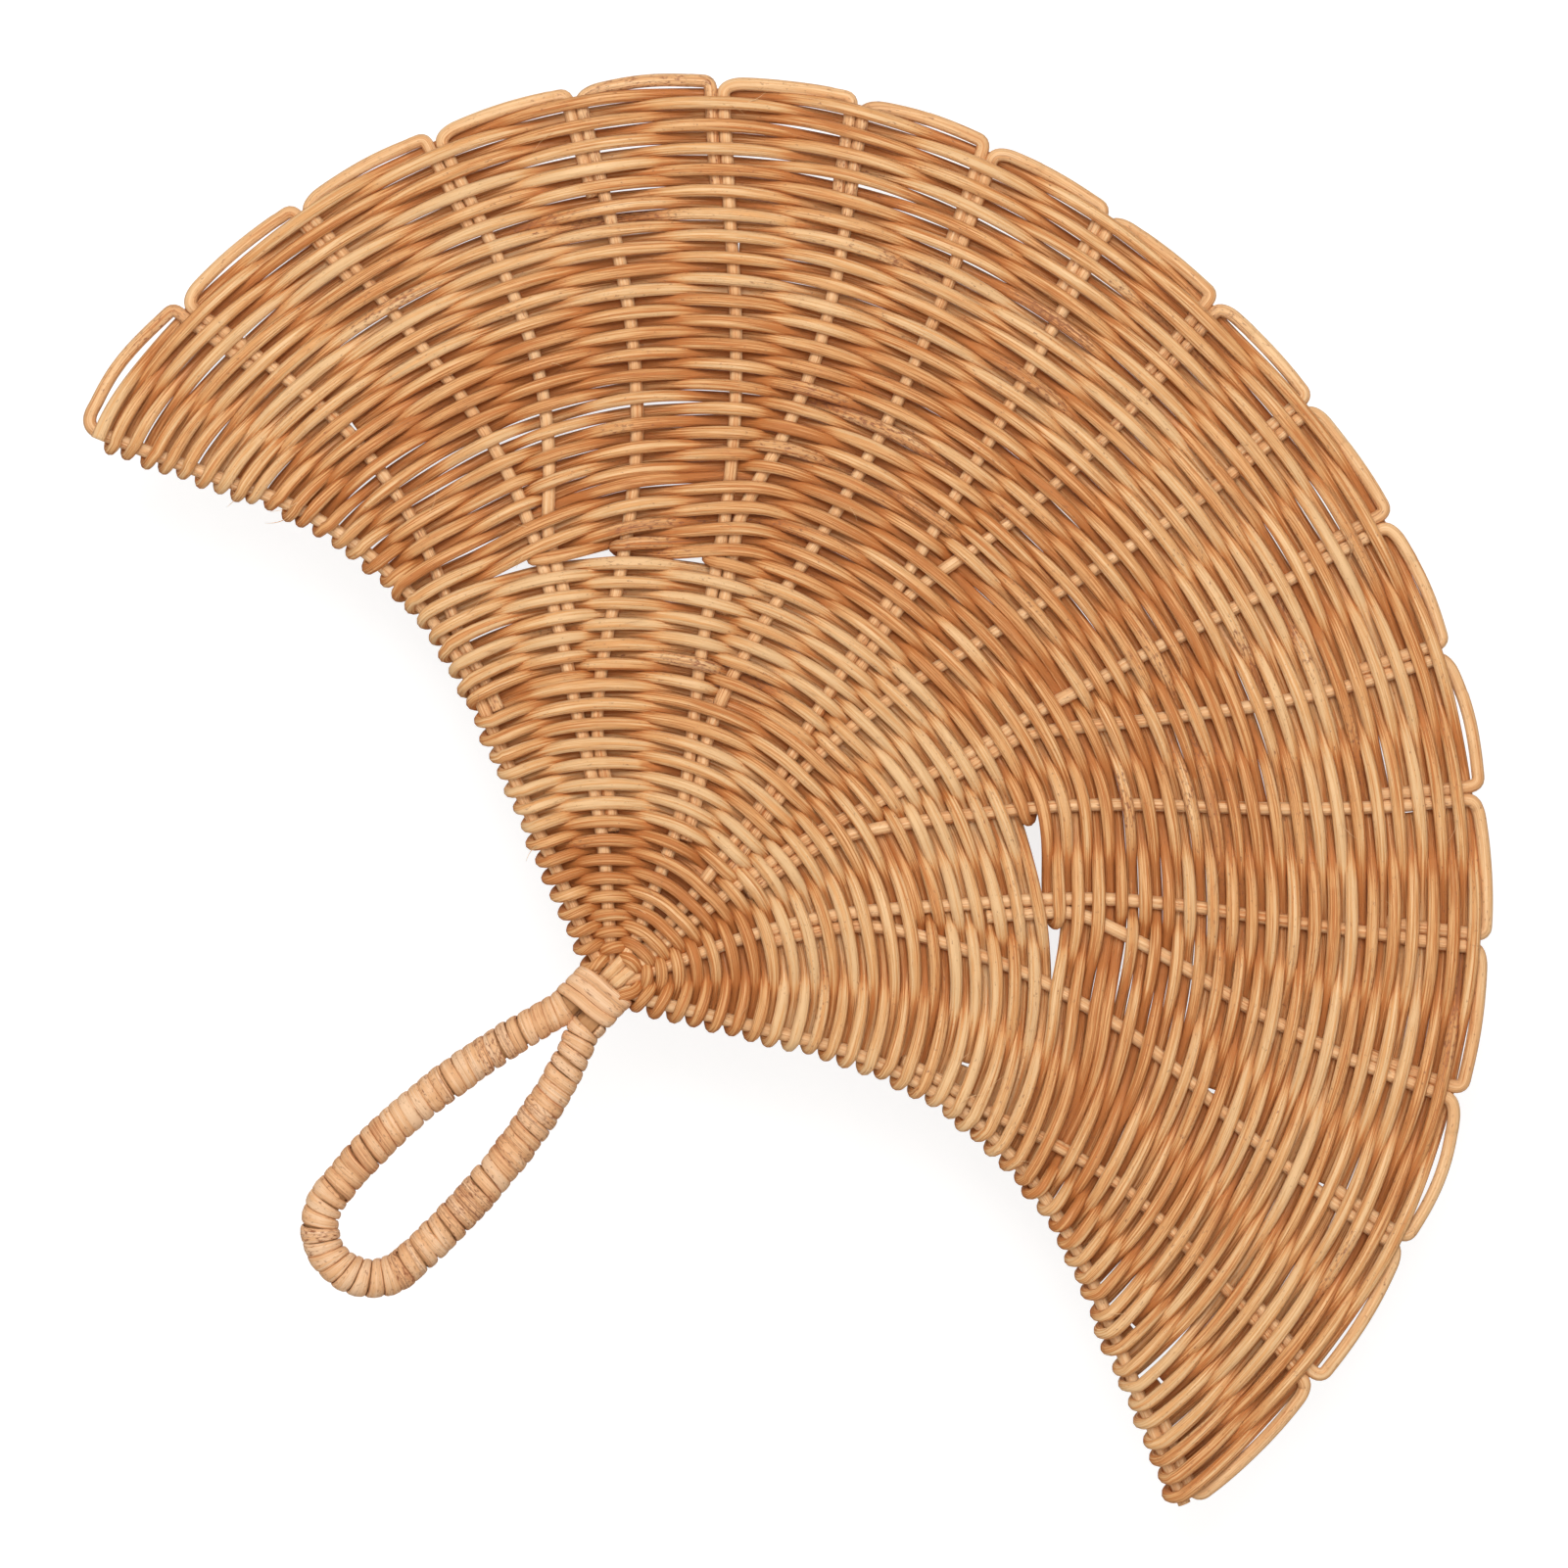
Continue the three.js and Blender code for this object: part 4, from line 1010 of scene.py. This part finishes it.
def handle_line():
    """Centreline of the loop, left leg, half a circle and right leg, and the length of both legs.
    Each leg is a cubic Bezier with x counted outwards from the neck."""
    legs = []
    for leg in (LEFT_LEG, RIGHT_LEG):
        corners = [(LEG_GAP + 0.3, NECK_FOOT - 1.5), (leg["shoulder"], NECK_FOOT - SHOULDER_DROP),
                   (leg["belly"], BEND_CENTRE + BELLY_RISE), (HANDLE_BEND_RADIUS, BEND_CENTRE)]
        legs.append(np.vstack([(LEG_GAP, NECK_FOOT + LEG_UNDER_NECK), bezier(corners, 60)]))
    left, right = legs
    turn = np.linspace(0.0, math.pi, 60)[1:-1]
    bend = [0.0, BEND_CENTRE] - HANDLE_BEND_RADIUS * np.column_stack([np.cos(turn), np.sin(turn)])
    line, = respaced(upright(np.vstack([left * [-1, 1], bend, right[::-1]]) + [NECK_SHIFT, 0.0]), 0.5)
    return line, running_length(left)[-1], running_length(right)[-1]


HANDLE, LEFT_LENGTH, RIGHT_LENGTH = handle_line()
HANDLE_ALONG = running_length(HANDLE)


def handle_point(along, turn, radius):
    """A place on the binding: along the handle's centreline, round it and out from it."""
    centre, ahead, behind = (read_at(along + step, HANDLE_ALONG, HANDLE) for step in (0.0, 1.5, -1.5))
    outward = np.cross(unit(ahead - behind), DEPTH_WAY)
    out, deep = (radius * np.cos(turn))[..., None], (radius * np.sin(turn))[..., None]
    return centre + outward * out + DEPTH_WAY * deep


def core_radius(height):
    """Radius of the bound core: thinner at the neck, full a finger's breadth below it."""
    share = smoothstep(-height, -NECK_FOOT, -NECK_FOOT + CORE_TAPER)
    return (HANDLE_TOP_DIAMETER + (HANDLE_CORE_DIAMETER - HANDLE_TOP_DIAMETER) * share) / 2


STRIP_ACROSS = np.array([-1.0, -0.93, -0.68, 0.0, 0.68, 0.93, 1.0, 0.9, 0.0, -0.9])
STRIP_OUT = np.array([0.10, 0.55, 0.92, 1.10, 0.92, 0.55, 0.10, 0.0, 0.0, 0.0])


def strip_piece(node, rings, turn, seed):
    """The object of a strip. Its fibres run with its length, its tone changes from turn to turn, and
    its edges are browner."""
    number = turn / (2.0 * math.pi)
    fibre = fibre_places(STRIP_ACROSS * 1.9, STRIP_OUT * 0.6, turn * 4.4 + 31.0 * seed)
    tone = 0.32 + 0.22 * wander(number, 0.45, seed + 5) + 0.24 * wander(number, 3.0, seed + 6)
    tone = np.clip(tone + 0.10 * wander(number, 0.06, seed + 9), 0.0, 1.0)
    tone = tone[:, None] + 0.35 * smoothstep(np.abs(STRIP_ACROSS), 0.8, 1.0)
    bark = 0.4 + 0.6 * smoothstep(wander(number, 2.0, seed + 7), 0.2, 0.8)
    make_piece(node + "_strip", [(rings, tone, fibre, bark)], cane_finish, "cane", node)


def bind(node, start, stop, pitch, seed):
    """Flat cane wound round the handle. Its place along the handle grows by one pitch a turn, its
    section is a flat band with a slightly domed back, and each turn sits a little askew, wider or
    narrower and proud of the last."""
    width = pitch + CANE_OVERLAP
    turns = (stop - start - width) / pitch
    steps = np.arange(int(turns * CANE_TURN_STEPS) + 1)
    turn = (steps / CANE_TURN_STEPS) * 2.0 * math.pi + math.pi / CANE_TURN_STEPS
    number = turn / (2.0 * math.pi)
    skew = 0.42 * wander(number, 1.0, seed) + 0.28 * np.sin(turn + 6.0 * wander(number, 6.0, seed + 1))
    ease = smoothstep(number, 0.0, 1.0) * smoothstep(turns - number, 0.0, 1.0)
    along = start + width / 2 + number * pitch + skew * ease
    base = core_radius(np.interp(along, HANDLE_ALONG, HANDLE[:, 2])) + CANE_SEAT
    lift = 0.05 + 0.18 * wander(number, 0.7, seed + 2)
    spread = 1.0 + 0.12 * wander(number, 0.45, seed + 3) + 0.05 * wander(number, 0.08, seed + 4)
    tilt = 0.10 * wander(number, 0.9, seed + 8)
    place = along[:, None] + STRIP_ACROSS * (width / 2) * spread[:, None]
    level = lift[:, None] + STRIP_OUT * CANE_THICKNESS + STRIP_ACROSS * tilt[:, None]
    strip_piece(node, handle_point(place, turn[:, None], base[:, None] + level), turn, seed)


leg_pitch = CANE_WIDTH + CANE_GAP * 1.12
bend_pitch = CANE_WIDTH + CANE_GAP * 1.3
right_start = HANDLE_ALONG[-1] - RIGHT_LENGTH
bind("left_leg_cane", RUN_INSET, LEFT_LENGTH + RUN_PAST, leg_pitch, 610)
bind("bend_cane", LEFT_LENGTH - RUN_BEFORE, right_start + RUN_PAST, bend_pitch, 630)
bind("right_leg_cane", right_start - RUN_BEFORE, HANDLE_ALONG[-1] - RUN_INSET, leg_pitch, 650)


def neck_section(turn, grow):
    """Rounded box round the stakes and the loop's tops: a superellipse of power 3."""
    filled = max(3 * SIDE_BY_SIDE / 2 + ROD_RADIUS, LEG_GAP + HANDLE_TOP_DIAMETER / 2)
    sizes = (filled + 0.3 + grow, np.cos(turn)), (core_radius(NECK_FOOT) + 0.80 + grow, np.sin(turn))
    return [half * np.sign(way) * np.abs(way) ** (2 / 3) for half, way in sizes]


def bind_neck(node, seed):
    """The whipping: one strip wound round the neck, rising to the right across the front."""
    pitch = CANE_WIDTH + CANE_GAP
    turn = np.arange(NECK_TURNS * NECK_TURN_STEPS + 1) / NECK_TURN_STEPS * 2.0 * math.pi
    number = turn / (2.0 * math.pi)
    ease = smoothstep(number, 0, 0.5) * smoothstep(NECK_TURNS - number, 0, 0.5)
    foot = NECK_FOOT + number * pitch + (0.5 * np.cos(turn) + 0.3 * wander(number, 0.4, seed + 1)) * ease
    width = (pitch + 0.1) * (1.0 + 0.10 * wander(number, 0.3, seed + 2))
    height = foot[:, None] + CANE_WIDTH / 2 + STRIP_ACROSS * width[:, None] / 2
    lift = 0.12 * wander(number, 0.5, seed + 3) + 0.08
    x, y = neck_section(turn[:, None], STRIP_OUT * CANE_THICKNESS + lift[:, None])
    strip_piece(node, np.stack([x + NECK_SHIFT, y, height], axis=-1), turn, seed)


bind_neck("neck_whipping", 670)

core = frame["nodes"]["handle_core"]
core.data.materials.clear()
core.data.materials.append(core_finish)


# Stage

IMAGE_RIGHT = np.array([0.7181, 0.0, 0.6959])
IMAGE_UP = np.array([-0.6959, 0.0, 0.7181])
VIEW_CENTRE = np.array([-4.5, 0.0, 61.6 - NAIL_HEIGHT]) * MM
VIEW_WIDTH = 400.25 * MM
LENS = 140.0
SENSOR = 36.0
ROOM_COLOUR = (1.0, 0.90, 0.80, 1.0)
ROOM_STRENGTH = 0.50
STAGE_SIZE = 6.0
WALL_GAP = 0.045
FLOOR_DROP = 0.22
LAMPS = {
    "key_lamp": {"offset": IMAGE_UP * 0.75 + [0.0, -1.5, 0.0], "size": 0.9, "power": 18.0},
    "fill_lamp": {"offset": np.array([0.5, -1.6, -0.3]), "size": 1.4, "power": 6.0},
    "rear_lamp": {"offset": np.array([-0.5, 1.6, 0.6]), "size": 1.2, "power": 9.0},
}


def turned_matrix(right, up, place):
    """A matrix whose columns are right, up and their cross product, at a place."""
    columns = np.column_stack([right, up, np.cross(right, up), place])
    return Matrix(np.vstack([columns, [0.0, 0.0, 0.0, 1.0]]).tolist())


def make_camera():
    """Square-on camera, rolled so that the fan lies across the picture as in the photograph."""
    data = bpy.data.cameras.new("photograph_view")
    data.lens, data.sensor_width = LENS, SENSOR
    place = VIEW_CENTRE + np.cross(IMAGE_RIGHT, IMAGE_UP) * VIEW_WIDTH * LENS / SENSOR
    camera = linked("photograph_view", data)
    camera.matrix_world = turned_matrix(IMAGE_RIGHT, IMAGE_UP, place)
    bpy.context.scene.camera = camera


def make_lamp(name, offset, size, power):
    """A soft square lamp that looks at the fan's middle from a place about it."""
    data = bpy.data.lights.new(name, "AREA")
    data.size, data.energy = size, power
    aim = unit(-offset)
    right = unit(np.cross(aim, [0.0, 0.0, 1.0]))
    linked(name, data).matrix_world = turned_matrix(right, np.cross(right, aim), VIEW_CENTRE + offset)


def make_world():
    """Even pale surroundings."""
    world = bpy.data.worlds.new("pale_room")
    world.use_nodes = True
    inputs = world.node_tree.nodes["Background"].inputs
    inputs["Color"].default_value, inputs["Strength"].default_value = ROOM_COLOUR, ROOM_STRENGTH
    bpy.context.scene.world = world


def stage_plane(name, centre, right, up, material):
    """A square of the stage with its face towards the cross product of right and up."""
    half = STAGE_SIZE / 2
    corners = [centre + right * a * half + up * b * half for a, b in ((-1, -1), (1, -1), (1, 1), (-1, 1))]
    mesh = bpy.data.meshes.new(name)
    mesh.from_pydata(corners, [], [(0, 1, 2, 3)])
    mesh.materials.append(material)
    linked(name, mesh)


def stage_material(name, shade, glow, blocks_lamps=True):
    """Matt surface that the camera sees brighter than it is lit, and that is clear when seen from
    behind; where it doesn't block lamps, a lamp behind it still lights what stands before it."""
    material, tree = new_material(name)
    tree.nodes.remove(tree.nodes["Principled BSDF"])
    diffuse = tree.nodes.new("ShaderNodeBsdfDiffuse")
    diffuse.inputs["Color"].default_value = (shade, shade, shade, 1.0)
    rays = tree.nodes.new("ShaderNodeLightPath")
    emission = tree.nodes.new("ShaderNodeEmission")
    emission.inputs["Color"].default_value = (1.0, 1.0, 1.0, 1.0)
    seen = math_node(tree, "MULTIPLY", rays.outputs["Is Camera Ray"], glow)
    tree.links.new(seen, emission.inputs["Strength"])
    clear = tree.nodes.new("ShaderNodeBsdfTransparent")
    unseen = tree.nodes.new("ShaderNodeNewGeometry").outputs["Backfacing"]
    if not blocks_lamps:
        unseen = math_node(tree, "MAXIMUM", unseen, rays.outputs["Is Shadow Ray"])
    total, chosen = tree.nodes.new("ShaderNodeAddShader"), tree.nodes.new("ShaderNodeMixShader")
    shaders = (diffuse.outputs[0], emission.outputs[0]), (unseen, total.outputs[0], clear.outputs[0])
    for node, outputs in zip((total, chosen), shaders):
        for socket, output in zip(node.inputs, outputs):
            tree.links.new(output, socket)
    tree.links.new(chosen.outputs[0], tree.nodes["Material Output"].inputs["Surface"])
    return material


lowest, highest = np.array(cad_box[0]), np.array(cad_box[1])
wall_y = highest[1] + WALL_GAP
to_right, to_back, to_top = np.eye(3)
stage_plane("backdrop", np.array([0.0, wall_y, VIEW_CENTRE[2]]), to_right, to_top,
            stage_material("white_wall", shade=0.32, glow=0.80, blocks_lamps=False))
stage_plane("floor", np.array([0.0, wall_y - STAGE_SIZE / 2, lowest[2] - FLOOR_DROP]), to_right, to_back,
            stage_material("pale_floor", shade=0.8, glow=0.25))

make_camera()
make_world()
for name, lamp in LAMPS.items():
    make_lamp(name, **lamp)

bpy.context.scene.view_settings.view_transform = "Standard"
